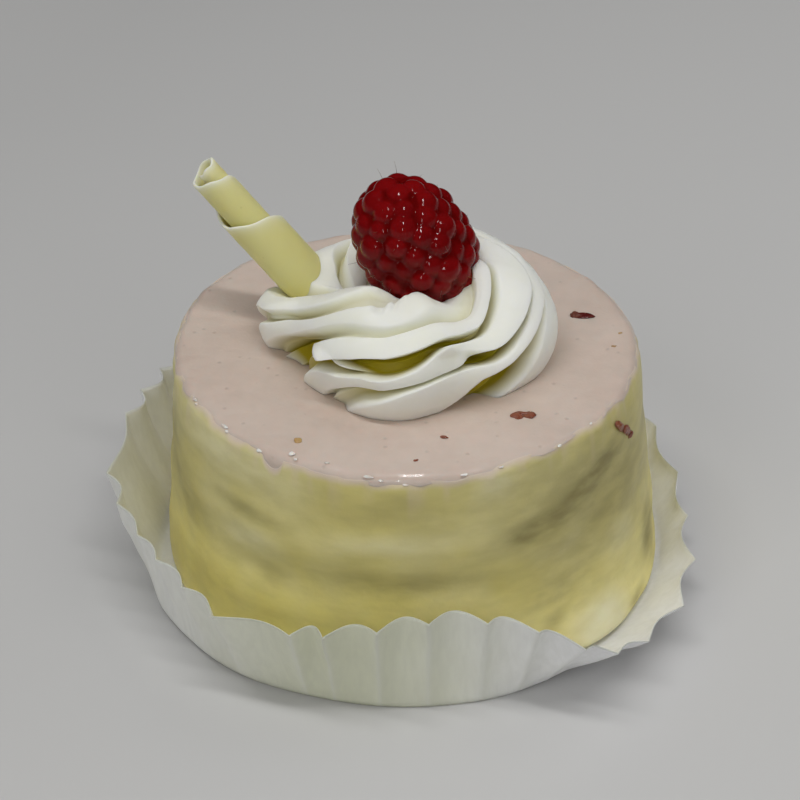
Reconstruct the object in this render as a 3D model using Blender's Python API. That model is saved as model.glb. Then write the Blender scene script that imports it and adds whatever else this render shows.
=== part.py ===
"""A small round charlotte cake in its fluted white paper case.

A cream-coated cake with a pink mousse layer on top carries a piped whipped cream
rosette, one raspberry and a rolled white chocolate curl.

Frame: metres, +Z up, the front is -Y. The origin is on the case's underside, below the middle
of the cake's top.
Sizes below are millimetres and degrees. An azimuth is measured from +X towards +Y.
"""

import math

import bpy
import numpy as np
from mathutils import Vector

MM = 0.001
GAP = 0.3

# The cake: a disc that widens and leans a little towards its foot
TOP_RADIUS = 37.2
TOP_SHIFT = 0.3
FOOT_RADIUS = 40.9
FOOT_SHIFT = (1.2, -1.3)
CAKE_FLOOR = 0.6
CAKE_TOP = 36.8
RIM_ROUNDING = 1.7
SKIRT_AZIMUTH = 318.0
SKIRT_HALF_WIDTH = 34.0
SKIRT_FLARE = 1.5
SKIRT_HEIGHT = 6.0
CAKE_COLUMNS = 92

# The pink layer and its uneven lower edge
LAYER_DEPTH = 3.4
EDGE_DROP = 1.5
EDGE_WAVES = ((3, 0.35, 40.0), (7, 0.22, 110.0), (11, 0.16, 200.0))
DRIP_AZIMUTH = 237.4
DRIP_HALF_WIDTH = 3.2
DRIP_LENGTH = 1.5

# Fruit flecks on the top: x, y, length, width, turn
TOP_FLECKS = (
    (29.6, 7.2, 4.0, 1.5, -8.0),
    (17.9, -21.8, 3.8, 2.0, 4.0),
    (-16.1, -27.6, 1.5, 1.2, 30.0),
    (33.6, 1.6, 1.7, 1.1, 70.0),
    (5.7, -27.0, 1.4, 1.0, -20.0),
)
FLECK_HEIGHT = 0.7
SIDE_FLECK_AZIMUTH = 330.0
SIDE_FLECK_HEIGHT = 31.4
SIDE_FLECK_SIZE = (1.0, 2.6, 3.8)

# The paper case: the folds of its wall by azimuth, where the wall's edge reaches, and their depth
PAPER = 0.3
CASE_RADIUS = 44.4
CASE_SHIFT = (0.7, -2.2)
FLOOR_ROUNDING = 0.8
WALL_SLANT = 18.8
LEFT_FOLDS = (153.0, 161.5, 170.5, 190.5, 200.7, 211.0, 219.0, 228.0, 237.0)
FRONT_FOLDS = (251.0, 256.5, 265.0, 274.0, 284.0, 291.5, 297.5)
RIGHT_FOLDS = (306.0, 315.0, 324.0, 335.0, 347.0, 362.0, 374.0, 383.0)
BACK_FOLDS = 14
FOLD_DEPTH = (
    (0.0, 1.6),
    (90.0, 2.4),
    (180.0, 1.8),
    (225.0, 2.0),
    (255.0, 2.7),
    (290.0, 2.5),
    (310.0, 1.5),
    (335.0, 1.3),
)
RIM_REACH = (
    (0.0, 45.4),
    (14.0, 46.0),
    (28.0, 47.4),
    (60.0, 48.5),
    (120.0, 48.5),
    (150.0, 47.4),
    (175.0, 47.8),
    (190.0, 49.0),
    (200.0, 50.2),
    (219.0, 53.8),
    (236.0, 54.2),
    (251.0, 53.2),
    (265.0, 51.0),
    (275.0, 48.9),
    (284.0, 50.0),
    (291.5, 53.4),
    (298.0, 58.3),
    (307.0, 60.5),
    (315.0, 58.6),
    (324.0, 54.8),
    (335.0, 49.6),
    (347.0, 46.4),
)

# The cream rosette: a fluted ring that sinks to a nest in its middle
CREST_RADIUS = 12.0
CREAM_AXIS_RISE = 5.0
INNER_HALF_WIDTH = 6.0
NEST_RISE = 8.6
LIP_ANGLE = -28.0
NEST_ANGLE = 168.0
RIDGE_STEP = 30.0
RIDGE_STARTS = (165.0, 194.0, 206.0, 221.0, 253.0, 312.0, 384.0, 456.0)
RIDGE_HEIGHT = 2.7
CREAM_OUTLINE = (
    (0.0, 24.2),
    (25.0, 22.8),
    (60.0, 21.0),
    (110.0, 20.0),
    (150.0, 21.0),
    (165.0, 23.4),
    (188.0, 22.0),
    (203.0, 19.0),
    (217.0, 20.3),
    (240.0, 22.0),
    (265.0, 24.4),
    (291.0, 22.2),
    (315.0, 23.8),
    (345.0, 24.6),
)
CREAM_CREST = (
    (0.0, 15.8),
    (50.0, 15.4),
    (80.0, 14.4),
    (110.0, 12.6),
    (150.0, 12.0),
    (175.0, 11.0),
    (205.0, 12.4),
    (240.0, 14.2),
    (270.0, 15.0),
    (315.0, 15.6),
)
CREAM_COLUMNS_PER_RIDGE = 6
CREAM_ROWS = 27

# The raspberry
BERRY_BASE = (5.5, -0.3, 46.6)
BERRY_LEAN = 25.0
BERRY_LENGTH = 19.0
BERRY_CORE_RADIUS = 7.9
BERRY_WAIST = 0.36
DRUPELET_RADIUS = 1.6
DRUPELET_SPACING = 2.9
DRUPELETS_AROUND = (6, 9, 12, 18)
BERRY_COLUMNS = 72

# The white chocolate curl: by the angle round the roll, the sheet's radius and where its far edge is
CURL_FOOT = (-14.0, 6.0, 42.6)
CURL_DIRECTION = (-0.642, 0.128, 0.755)
CURL_SHEET = 0.5
CURL_STEP = 15.0
CURL_TURNS = (
    (-105.0, 4.25, 10.5),
    (0.0, 4.05, 14.3),
    (90.0, 3.95, 17.0),
    (140.0, 3.95, 18.2),
    (180.0, 3.9, 20.0),
    (270.0, 3.2, 21.8),
    (360.0, 2.6, 23.9),
    (450.0, 2.75, 25.4),
    (540.0, 3.0, 26.5),
    (630.0, 2.7, 27.9),
    (735.0, 1.9, 26.9),
)


def smooth_step(x):
    """A rise from 0 to 1 with level ends, for x from 0 to 1."""
    x = np.clip(x, 0.0, 1.0)
    return x * x * (3.0 - 2.0 * x)


def curve(x_knots, y_knots, x):
    """A smooth curve through knots: cubic between them, its slope at a knot set by the two beside it."""
    slope = np.gradient(y_knots, x_knots)
    i = np.clip(np.searchsorted(x_knots, x, side="right") - 1, 0, len(x_knots) - 2)
    span = x_knots[i + 1] - x_knots[i]
    t = (x - x_knots[i]) / span
    start = y_knots[i] * (1 + 2 * t) * (1 - t) ** 2 + slope[i] * span * t * (1 - t) ** 2
    end = y_knots[i + 1] * (3 - 2 * t) * t**2 + slope[i + 1] * span * (t - 1) * t**2
    return start + end


def around(pairs, azimuth):
    """A value given at a few azimuths, carried smoothly between them and round the full turn."""
    knots = np.array(pairs, dtype=float)
    turn = np.array([360.0, 0.0])
    knots = np.concatenate([knots[-2:] - turn, knots, knots[:2] + turn])
    return curve(knots[:, 0], knots[:, 1], np.mod(azimuth - pairs[0][0], 360.0) + pairs[0][0])


def apart(azimuth, centre):
    """The angle between two azimuths, from 0 to 180 degrees."""
    return np.abs(np.mod(azimuth - centre + 180.0, 360.0) - 180.0)


def ring(radius, azimuth, height, shift=(0.0, 0.0)):
    """Points at a radius and a height along a list of azimuths, round a shifted middle."""
    turn = np.radians(azimuth)
    x = shift[0] + radius * np.cos(turn)
    y = shift[1] + radius * np.sin(turn)
    return np.stack([x, y, np.broadcast_to(height, turn.shape)], axis=-1)


def ring_faces(rows, low_pole):
    """Points and triangles of a skin through rings of points, closed by a pole at its low end.

    Each four-sided patch is split along the shorter of its diagonals.
    """
    count = len(rows[0])
    points = np.concatenate([*rows, [low_pole]])
    low = len(points) - 1
    faces = []
    for r in range(len(rows) - 1):
        for c in range(count):
            d = (c + 1) % count
            a, b, e, f = r * count + c, r * count + d, (r + 1) * count + d, (r + 1) * count + c
            if np.linalg.norm(points[b] - points[f]) < np.linalg.norm(points[a] - points[e]):
                faces += [(a, b, f), (b, e, f)]
            else:
                faces += [(a, b, e), (a, e, f)]
    for c in range(count):
        faces.append(((c + 1) % count, c, low))
    return points, faces


def closed_rings(rows, low_pole, high_pole):
    """Points and triangles of a closed skin through rings of points, with a pole at each end."""
    points, faces = ring_faces(rows, low_pole)
    count = len(rows[0])
    top = (len(rows) - 1) * count
    for c in range(count):
        faces.append((top + c, top + (c + 1) % count, len(points)))
    return np.concatenate([points, [high_pole]]), faces


def make_material(name, colour, roughness, metallic=0.0):
    """A plain Principled material."""
    material = bpy.data.materials.new(name)
    material.use_nodes = True
    shader = material.node_tree.nodes["Principled BSDF"]
    shader.inputs["Base Color"].default_value = (*colour, 1.0)
    shader.inputs["Roughness"].default_value = roughness
    shader.inputs["Metallic"].default_value = metallic
    return material


def make_object(name, points, faces, material, collection=None):
    """An object from points in millimetres."""
    mesh = bpy.data.meshes.new(name)
    mesh.from_pydata((np.asarray(points) * MM).tolist(), [], faces)
    mesh.update()
    mesh.shade_smooth()
    if material is not None:
        mesh.materials.append(material)
    thing = bpy.data.objects.new(name, mesh)
    (collection or bpy.context.scene.collection).objects.link(thing)
    return thing


def apply_modifiers(thing):
    """Turns the object's modifiers into its own mesh."""
    bpy.context.view_layer.update()
    graph = bpy.context.evaluated_depsgraph_get()
    mesh = bpy.data.meshes.new_from_object(thing.evaluated_get(graph))
    thing.modifiers.clear()
    thing.data = mesh


def fuse(thing, collection):
    """Joins a collection's objects to the object by one union, then removes them."""
    union = thing.modifiers.new("Union", "BOOLEAN")
    union.operation = "UNION"
    union.operand_type = "COLLECTION"
    union.collection = collection
    apply_modifiers(thing)
    for piece in list(collection.objects):
        bpy.data.objects.remove(piece, do_unlink=True)
    bpy.data.collections.remove(collection)
    thing.data.shade_smooth()


def cut(thing, cutter):
    """Takes the cutter's form out of the object, then removes the cutter."""
    cutter.hide_render = True
    cutter.display_type = "WIRE"
    difference = thing.modifiers.new("Cut", "BOOLEAN")
    difference.operation = "DIFFERENCE"
    difference.object = cutter
    difference.solver = "MANIFOLD"
    apply_modifiers(thing)
    bpy.data.objects.remove(cutter, do_unlink=True)
    thing.data.shade_smooth()


def new_group(name):
    """A collection for pieces that are to be fused."""
    group = bpy.data.collections.new(name)
    bpy.context.scene.collection.children.link(group)
    return group


def lump(name, size, place, turn, group):
    """A small faceted lump, its size given along x, y and z."""
    rings = []
    azimuth = np.arange(8) * 45.0
    for level in (-60.0, -20.0, 20.0, 60.0):
        level = math.radians(level)
        rings.append(ring(math.cos(level) / 2, azimuth, math.sin(level) / 2))
    points, faces = closed_rings(rings, (0, 0, -0.5), (0, 0, 0.5))
    points = points * np.array(size)
    turn = math.radians(turn)
    spin = np.array([[math.cos(turn), math.sin(turn), 0], [-math.sin(turn), math.cos(turn), 0], [0, 0, 1]])
    return make_object(name, points @ spin + np.array(place), faces, None, group)


def side_radius(azimuth, height):
    """The cake's radius at a height, with the skirt of coating that spreads at one side of the foot."""
    share = (CAKE_TOP - height) / CAKE_TOP
    near = 0.5 + 0.5 * np.cos(np.pi * np.clip(apart(azimuth, SKIRT_AZIMUTH) / SKIRT_HALF_WIDTH, 0, 1))
    low = smooth_step(1.0 - height / SKIRT_HEIGHT)
    return TOP_RADIUS + (FOOT_RADIUS - TOP_RADIUS) * share + SKIRT_FLARE * near * low


def side_ring(azimuth, height, inset=0.0):
    """A ring on the cake's side, drawn in by an inset."""
    share = (CAKE_TOP - height) / CAKE_TOP
    shift = (TOP_SHIFT + (FOOT_SHIFT[0] - TOP_SHIFT) * share, FOOT_SHIFT[1] * share)
    return ring(side_radius(azimuth, height) - inset, azimuth, height, shift)


def edge_height(azimuth):
    """Where the pink layer ends on the side: a wavy line with one drip."""
    height = CAKE_TOP - EDGE_DROP + 0.0 * azimuth
    for waves, size, phase in EDGE_WAVES:
        height = height + size * np.sin(np.radians(waves * azimuth + phase))
    drip = np.clip(1.0 - (apart(azimuth, DRIP_AZIMUTH) / DRIP_HALF_WIDTH) ** 2, 0.0, 1.0)
    return height - DRIP_LENGTH * drip


def rim_inset(height):
    """How far the rounded rim draws in at a height near the top."""
    rise = np.clip(height - (CAKE_TOP - RIM_ROUNDING), 0.0, RIM_ROUNDING)
    return RIM_ROUNDING - np.sqrt(np.maximum(RIM_ROUNDING**2 - rise**2, 0.0))


def cake_azimuths():
    """Even azimuths, with a few more at the drip."""
    even = np.arange(CAKE_COLUMNS - 4) * 360.0 / (CAKE_COLUMNS - 4)
    extra = DRIP_AZIMUTH + DRIP_HALF_WIDTH * np.array([-1.0, -0.35, 0.35, 1.0])
    return np.sort(np.concatenate([even, extra]))


def make_cake_body():
    """The cream-coated cake below the pink layer, with one fruit fleck on its side."""
    az = cake_azimuths()
    edge = edge_height(az) - GAP / 2
    floor_of_layer = CAKE_TOP - LAYER_DEPTH
    rows = [side_ring(az, CAKE_FLOOR, 1.6), side_ring(az, CAKE_FLOOR + 0.5, 0.3)]
    for height in (2.6, 5.0, 10.0, 17.0, 24.0, 30.0):
        rows.append(side_ring(az, height))
    rows.append(side_ring(az, edge, rim_inset(edge)))
    rows.append(side_ring(az, edge - 0.4, 2.2))
    rows.append(side_ring(az, floor_of_layer - GAP, 6.0))
    middle = (0.0, 0.0, floor_of_layer - GAP)
    foot = (FOOT_SHIFT[0], FOOT_SHIFT[1], CAKE_FLOOR)
    points, faces = closed_rings(rows, foot, middle)
    body = make_object("cake_body", points, faces, make_material("Cream_coating", (0.66, 0.60, 0.34), 0.42))
    group = new_group("Side flecks")
    place = side_ring(np.array([SIDE_FLECK_AZIMUTH]), SIDE_FLECK_HEIGHT)[0]
    lump("side_fleck", SIDE_FLECK_SIZE, place, -SIDE_FLECK_AZIMUTH, group)
    fuse(body, group)


def make_pink_layer():
    """The pink mousse layer, with its rounded rim, its uneven lower edge and the flecks on it."""
    az = cake_azimuths()
    edge = edge_height(az) + GAP / 2
    floor_of_layer = CAKE_TOP - LAYER_DEPTH
    rows = [side_ring(az, floor_of_layer, 6.0), side_ring(az, edge - 0.4, 2.2)]
    for share in (0.0, 0.35, 0.7):
        height = edge + (CAKE_TOP - edge) * share
        rows.append(side_ring(az, height, rim_inset(height)))
    rows.append(side_ring(az, CAKE_TOP, RIM_ROUNDING))
    rows.append(side_ring(az, CAKE_TOP, 9.0))
    points, faces = closed_rings(rows, (0, 0, floor_of_layer), (0, 0, CAKE_TOP))
    layer = make_object("pink_layer", points, faces, make_material("Pink_mousse", (0.72, 0.55, 0.48), 0.5))
    group = new_group("Top flecks")
    for i, (x, y, length, width, turn) in enumerate(TOP_FLECKS):
        lump(f"fleck_{i}", (length, width, FLECK_HEIGHT), (x, y, CAKE_TOP), turn, group)
    fuse(layer, group)


def fold_azimuths():
    """The azimuth of each outward fold of the paper, once round."""
    shown = LEFT_FOLDS + FRONT_FOLDS + RIGHT_FOLDS
    back = np.linspace(shown[-1], shown[0] + 360.0, BACK_FOLDS + 1)[1:-1]
    return np.concatenate([shown, back])


def make_paper_case():
    """The case: a flat round floor and a leaning wall, folded out sharply and in roundly."""
    folds = fold_azimuths()
    ends = np.append(folds, folds[0] + 360.0)
    quarters = np.array([0.0, 0.25, 0.5, 0.75])
    az = (folds[:, None] + np.diff(ends)[:, None] * quarters).ravel()
    pleat = np.tile(-np.sin(np.pi * quarters), len(folds)) * around(FOLD_DEPTH, az)
    turn = np.radians(az)
    base = CASE_RADIUS + CASE_SHIFT[0] * np.cos(turn) + CASE_SHIFT[1] * np.sin(turn)
    lean = around(RIM_REACH, az) - base
    rise = np.sqrt(WALL_SLANT**2 - lean**2)
    rows = [ring(base - FLOOR_ROUNDING, az, 0.0)]
    for share in (0.03, 0.5, 1.0):
        rows.append(ring(base + (lean + pleat) * share, az, rise * share))
    points, faces = ring_faces(rows, (*CASE_SHIFT, 0.0))
    case = make_object("paper_case", points, faces, make_material("Greaseproof_paper", (0.76, 0.76, 0.68), 0.6))
    sheet = case.modifiers.new("Sheet", "SOLIDIFY")
    sheet.thickness = PAPER * MM
    sheet.offset = -1.0


def ridge_azimuth(phase):
    """The azimuth at which the ridge of a given number leaves the foot of the rosette."""
    starts = np.array(RIDGE_STARTS)
    knots = np.concatenate([starts + 360.0 * k for k in (-1, 0, 1, 2)])
    return curve(np.arange(len(knots)) - float(len(starts)), knots, phase)


def rosette_point(phase, tilt):
    """A point on the rosette for a ridge number and a tilt about the ring's own axis.

    Each ridge keeps its number while it climbs, so it winds round as the tilt grows. The skin is
    an ellipse in section, raised along the ridges and drawn in sharply between them.
    """
    azimuth = ridge_azimuth(phase + tilt / RIDGE_STEP)
    outline = around(CREAM_OUTLINE, azimuth)
    crest = around(CREAM_CREST, azimuth)
    lift = RIDGE_HEIGHT * (np.abs(np.cos(np.pi * phase)) - 1.0)
    lift = lift * (1.0 - 0.55 * smooth_step((tilt - 70.0) / 80.0))
    slope = np.radians(tilt)
    half_width = np.where(tilt < 90.0, outline - CREST_RADIUS, INNER_HALF_WIDTH)
    radius = CREST_RADIUS + (half_width + lift) * np.cos(slope)
    lower = CREAM_AXIS_RISE - (CREAM_AXIS_RISE - GAP) * np.sin(slope) / math.sin(math.radians(LIP_ANGLE))
    upper = CREAM_AXIS_RISE + (crest - CREAM_AXIS_RISE + lift) * np.sin(slope)
    rise = np.where(tilt < 0.0, lower, upper)
    return ring(radius, azimuth, CAKE_TOP + rise)


def make_rosette():
    """The whipped cream, nested under the raspberry and slit for the foot of the curl."""
    count = len(RIDGE_STARTS)
    phase = np.arange(count * CREAM_COLUMNS_PER_RIDGE) / CREAM_COLUMNS_PER_RIDGE
    rows = []
    for tilt in np.linspace(LIP_ANGLE, NEST_ANGLE, CREAM_ROWS):
        rows.append(rosette_point(phase, np.full(phase.shape, tilt)))
    foot = (0.0, 0.0, CAKE_TOP + GAP)
    nest = (0.0, 0.0, CAKE_TOP + NEST_RISE)
    points, faces = closed_rings(rows, foot, nest)
    cream = make_object("cream_rosette", points, faces, make_material("Whipped_cream", (0.88, 0.87, 0.76), 0.4))
    cut(cream, berry_solid("berry_cutter", 24, GAP + DRUPELET_RADIUS))
    cut(cream, curl_cutter())


def berry_profile(share):
    """The berry's core radius along its length, from its base to its tip."""
    above = np.clip((share - BERRY_WAIST) / (1.0 - BERRY_WAIST), 0.0, 1.0)
    below = np.clip((BERRY_WAIST - share) / BERRY_WAIST, 0.0, 1.0)
    return BERRY_CORE_RADIUS * (1.0 - above**2.4) ** 0.5 * (1.0 - 0.42 * below**2.0)


def berry_shares(step):
    """Places along the berry that lie an even step apart on its skin, from its base to near its tip."""
    shares = np.linspace(0.0, 1.0, 400)
    stretch = np.hypot(np.diff(berry_profile(shares)), np.diff(shares) * BERRY_LENGTH)
    length = np.concatenate([[0.0], np.cumsum(stretch)])
    return np.interp(np.arange(0.0, length[-1] - step / 2, step), length, shares)


def drupelets():
    """The middle of each drupelet on the core: staggered rings from the base to the tip."""
    middles = [np.array([[0.0, 0.0, BERRY_LENGTH]])]
    choices = np.array(DRUPELETS_AROUND)
    for i, share in enumerate(berry_shares(DRUPELET_SPACING * 0.84)):
        wanted = 2 * math.pi * berry_profile(share) / DRUPELET_SPACING
        count = choices[np.abs(choices - wanted).argmin()]
        azimuth = (np.arange(count) + 0.5 * (i % 2)) * 360.0 / count
        middles.append(ring(berry_profile(share), azimuth, share * BERRY_LENGTH))
    return np.concatenate(middles)


def berry_solid(name, columns, even_growth=None):
    """The berry: its core grown outwards by the domes of the drupelets, or evenly for a plain form."""
    azimuth = np.arange(columns) * 360.0 / columns
    shares = berry_shares(DRUPELET_SPACING * 0.42)
    core = np.stack([ring(berry_profile(s), azimuth, s * BERRY_LENGTH) for s in shares])
    slope = np.gradient(berry_profile(shares), shares * BERRY_LENGTH)
    outward = np.stack([ring(1.0, azimuth, -k) / math.hypot(1.0, k) for k in slope])
    if even_growth is None:
        away = np.linalg.norm(core[:, :, None, :] - drupelets(), axis=-1).min(axis=-1)
        growth = np.sqrt(np.maximum(DRUPELET_RADIUS**2 - away**2, 0.4))
        top = DRUPELET_RADIUS
    else:
        growth = np.full(core.shape[:2], even_growth)
        top = even_growth
    grid = core + outward * growth[:, :, None]
    base = (0.0, 0.0, float(grid[0, :, 2].mean()))
    points, faces = closed_rings(list(grid), base, (0.0, 0.0, BERRY_LENGTH + top))
    berry = make_object(name, points, faces, None)
    berry.location = Vector(BERRY_BASE) * MM
    berry.rotation_euler = (0.0, math.radians(-BERRY_LEAN), 0.0)
    return berry


def make_raspberry():
    """The raspberry with its drupelets."""
    berry = berry_solid("raspberry", BERRY_COLUMNS)
    berry.data.materials.append(make_material("Raspberry_flesh", (0.16, 0.004, 0.006), 0.3))


def place_along_curl(thing):
    """Puts the object at the curl's foot, with its own axis along the curl."""
    thing.location = Vector(CURL_FOOT) * MM
    thing.rotation_euler = Vector(CURL_DIRECTION).to_track_quat("Z", "Y").to_euler()
    return thing


def make_curl():
    """A sheet rolled slantwise into a spiral, so that its inner turns stand out of the outer one."""
    angle, radii, edge = np.array(CURL_TURNS).T
    turned = np.arange(angle[0], angle[-1] + CURL_STEP / 2, CURL_STEP)
    radius = curve(angle, radii, turned)
    far = curve(angle, edge, turned)
    azimuth = 90.0 - turned
    corners = [ring(radius, azimuth, 0.0), ring(radius, azimuth, far)]
    corners += [ring(radius - CURL_SHEET, azimuth, far), ring(radius - CURL_SHEET, azimuth, 0.0)]
    points = np.stack(corners, axis=1).reshape(-1, 3)
    last = 4 * (len(turned) - 1)
    faces = [(3, 2, 1, 0), (last, last + 1, last + 2, last + 3)]
    for i in range(0, last, 4):
        for k in range(4):
            m = (k + 1) % 4
            faces.append((i + k, i + m, i + 4 + m, i + 4 + k))
    material = make_material("White_chocolate", (0.80, 0.76, 0.42), 0.4)
    place_along_curl(make_object("chocolate_curl", points, faces, material))


def curl_cutter():
    """The round slot in the cream that holds the foot of the curl."""
    azimuth = np.arange(20) * 18.0
    radius, top = CURL_TURNS[0][1:]
    rows = [ring(radius + GAP, azimuth, height) for height in (-GAP, top)]
    points, faces = closed_rings(rows, (0, 0, -GAP), (0, 0, top))
    return place_along_curl(make_object("curl_cutter", points, faces, None))


def main():
    for thing in list(bpy.data.objects):
        bpy.data.objects.remove(thing, do_unlink=True)
    make_paper_case()
    make_cake_body()
    make_pink_layer()
    make_rosette()
    make_raspberry()
    make_curl()


main()
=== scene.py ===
"""The finish of a small charlotte cake: a coated cake with a pink mousse top, a piped cream
rosette, a raspberry, a white chocolate curl and a fluted paper case.

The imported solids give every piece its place. Each piece here is a finer surface worked out from
the same driving sizes, in millimetres and degrees. An azimuth is measured from +X towards +Y.
"""

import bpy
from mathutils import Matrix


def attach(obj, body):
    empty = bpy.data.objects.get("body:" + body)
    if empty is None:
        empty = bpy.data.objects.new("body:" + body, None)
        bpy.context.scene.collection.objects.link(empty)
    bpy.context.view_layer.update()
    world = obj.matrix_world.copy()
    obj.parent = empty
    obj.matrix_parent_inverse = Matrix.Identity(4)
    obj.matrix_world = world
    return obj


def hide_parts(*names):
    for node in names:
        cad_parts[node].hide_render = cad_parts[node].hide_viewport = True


bl_info = {
    "name": "Charlotte Cake Finish",
    "version": (1, 0, 0),
    "blender": (4, 5, 0),
    "location": "3D View > Sidebar > Cake",
    "description": "Builds the fine surfaces and finishes of a charlotte cake in its paper case",
    "category": "Object",
}

import math

import bpy
import numpy as np
from mathutils import Matrix, Vector

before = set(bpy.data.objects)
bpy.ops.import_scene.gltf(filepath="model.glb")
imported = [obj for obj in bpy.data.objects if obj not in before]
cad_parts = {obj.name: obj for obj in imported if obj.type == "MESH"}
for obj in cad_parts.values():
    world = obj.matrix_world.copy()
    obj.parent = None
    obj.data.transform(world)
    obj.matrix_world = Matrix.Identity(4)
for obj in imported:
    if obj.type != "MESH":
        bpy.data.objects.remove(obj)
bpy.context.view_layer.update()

MM = 0.001
# How high a sum of random sines rises, against their mean size
WAVE_PEAK = 1.6

# The cake: a disc that widens and leans a little towards its foot, with a skirt of coating at the
# right of its foot and a soft swell at the back of its top
TOP_RADIUS = 37.2
TOP_SHIFT = 0.3
FOOT_RADIUS = 40.9
FOOT_SHIFT = (1.2, -1.3)
CAKE_FLOOR = 0.6
CAKE_TOP = 36.8
RIM_ROUNDING = 1.7
RIM_ARC = RIM_ROUNDING * math.pi / 2
FOOT_ROUNDING = 1.6
SKIRT_AZIMUTH = 315.0
SKIRT_HALF_WIDTH = 42.0
SKIRT_FLARE = 2.0
SKIRT_HEIGHT = 8.0
SWELL_AZIMUTH = 142.0
SWELL_HALF_WIDTH = 40.0
SWELL = 1.0
LAYER_DEPTH = 3.4
CAKE_COLUMNS = 760
# Rows of the coated side: over the edge, then down to the foot
EDGE_ROWS = 7
SIDE_ROWS = 64
# Rows of the mousse: up the rim, over the ring of the top that shows, and under the cream
RIM_ROWS = 26
TOP_ROWS = 46
MIDDLE_ROWS = 10

# How far down the skin from the top's edge the coating stops, by azimuth
COAT_EDGE = (
    (0, 1.4), (60, 1.8), (120, 1.7), (180, 1.1), (205, 0.9), (228, 1.1), (245, 1.7), (265, 2.2),
    (285, 1.8), (297, 1.1), (320, 0.9), (340, 1.1),
)
DRIP_AZIMUTH = 237.4
DRIP_HALF_WIDTH = 2.7
DRIP_LENGTH = 2.0

# Soft bands that show through the coating: azimuth, half length, height, half height,
# rise along the band, strength. The first list is dark and the second pale. Among the dark ones,
# the broad band at azimuth 322 and the strong bands at 298 and 318 are also painted shade on the
# side's right; the pale band low at azimuth 316 is painted light on the foot's skirt.
DARK_AND_SHADE_BANDS = (
    (190, 26, 24.0, 9.0, 0.0, 0.55), (208, 16, 19.0, 3.2, 0.0, 0.40), (228, 18, 25.0, 1.4, 0.0, 0.55),
    (237, 7, 15.5, 2.6, 0.0, 0.35), (268, 28, 18.2, 2.2, 0.0, 0.55), (268, 40, 30.5, 3.6, 0.0, 0.25),
    (298, 14, 24.0, 2.0, 0.12, 0.75), (318, 17, 27.6, 2.2, 0.22, 0.75), (322, 46, 25.0, 10.0, 0.0, 0.78),
    (306, 16, 12.0, 4.0, 0.0, 0.40), (344, 9, 8.0, 5.5, 0.0, 0.90), (303, 5, 7.0, 1.6, 0.10, 0.45),
    (330, 7, 2.2, 1.0, 0.05, 0.60),
)
PALE_AND_LIT_BANDS = (
    (224, 28, 33.5, 4.0, 0.0, 0.65), (291, 8, 34.0, 2.6, 0.0, 0.55), (231, 13, 20.8, 2.2, 0.0, 0.55),
    (266, 24, 25.0, 1.8, 0.04, 0.45), (306, 12, 19.5, 1.8, 0.0, 0.30), (316, 15, 3.2, 4.0, 0.0, 1.40),
    (328, 10, 14.5, 2.8, 0.0, 0.45),
)
BACK_BANDS = 16

# Fruit on the top: tone, place, size, slant, turn and seed
FRUIT = (
    (0.0, (29.2, 7.3, 36.85), (3.9, 1.5, 0.8), 0.0, -8.0, 31),
    (0.0, (27.9, 7.6, 36.85), (1.5, 1.3, 0.9), 0.0, 20.0, 32),
    (0.5, (17.2, -21.8, 36.8), (2.0, 1.7, 0.7), 0.0, 12.0, 33),
    (0.45, (19.1, -21.6, 36.85), (1.9, 1.9, 0.8), 0.0, 60.0, 34),
    (0.55, (18.1, -21.0, 36.8), (2.4, 0.9, 0.6), 0.0, 4.0, 35),
    (1.0, (-16.1, -27.9, 36.85), (1.3, 1.0, 0.6), 0.0, 30.0, 36),
    (1.0, (34.8, 1.8, 36.75), (0.9, 0.7, 0.5), 0.0, 70.0, 37),
    (0.9, (33.5, -2.0, 36.8), (0.8, 0.6, 0.4), 0.0, 10.0, 38),
    (0.55, (5.9, -27.2, 36.82), (1.2, 0.7, 0.4), 0.0, -20.0, 39),
    (0.6, (1.6, -33.2, 36.75), (0.8, 0.6, 0.4), 0.0, 15.0, 40),
)
# Fruit that shows at the side: tone, azimuth, height, size, slant and seed
SIDE_FRUIT = (
    (0.62, 331.0, 32.6, (1.0, 3.4, 1.5), -42.0, 41),
    (0.58, 334.2, 30.6, (1.0, 3.0, 1.6), -46.0, 42),
    (0.3, 336.4, 29.2, (0.9, 1.6, 1.4), -50.0, 43),
)
# Wet drops along the rim: azimuth, distance down the skin, length and breadth
RIM_DROPS = (
    (206.3, 0.9, 0.9, 0.6), (208.0, 1.2, 0.5, 0.4), (220.6, 0.9, 1.5, 0.6), (222.2, 1.3, 0.7, 0.5),
    (233.2, 1.5, 0.8, 0.7), (241.4, 0.2, 0.9, 0.9), (243.0, 0.9, 0.6, 0.5), (250.6, 0.3, 0.8, 0.5),
    (260.9, 1.5, 1.6, 0.5), (264.0, 1.9, 0.7, 0.4), (269.5, 2.4, 0.8, 0.6), (283.1, 1.6, 1.1, 0.5),
    (292.0, 1.5, 0.8, 0.5), (308.4, 1.4, 0.8, 0.5), (320.0, 1.0, 0.6, 0.4),
)
FIRST_DROP_SEED = 90
PEBBLE_ROWS = 14
PEBBLE_COLUMNS = 24

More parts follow.
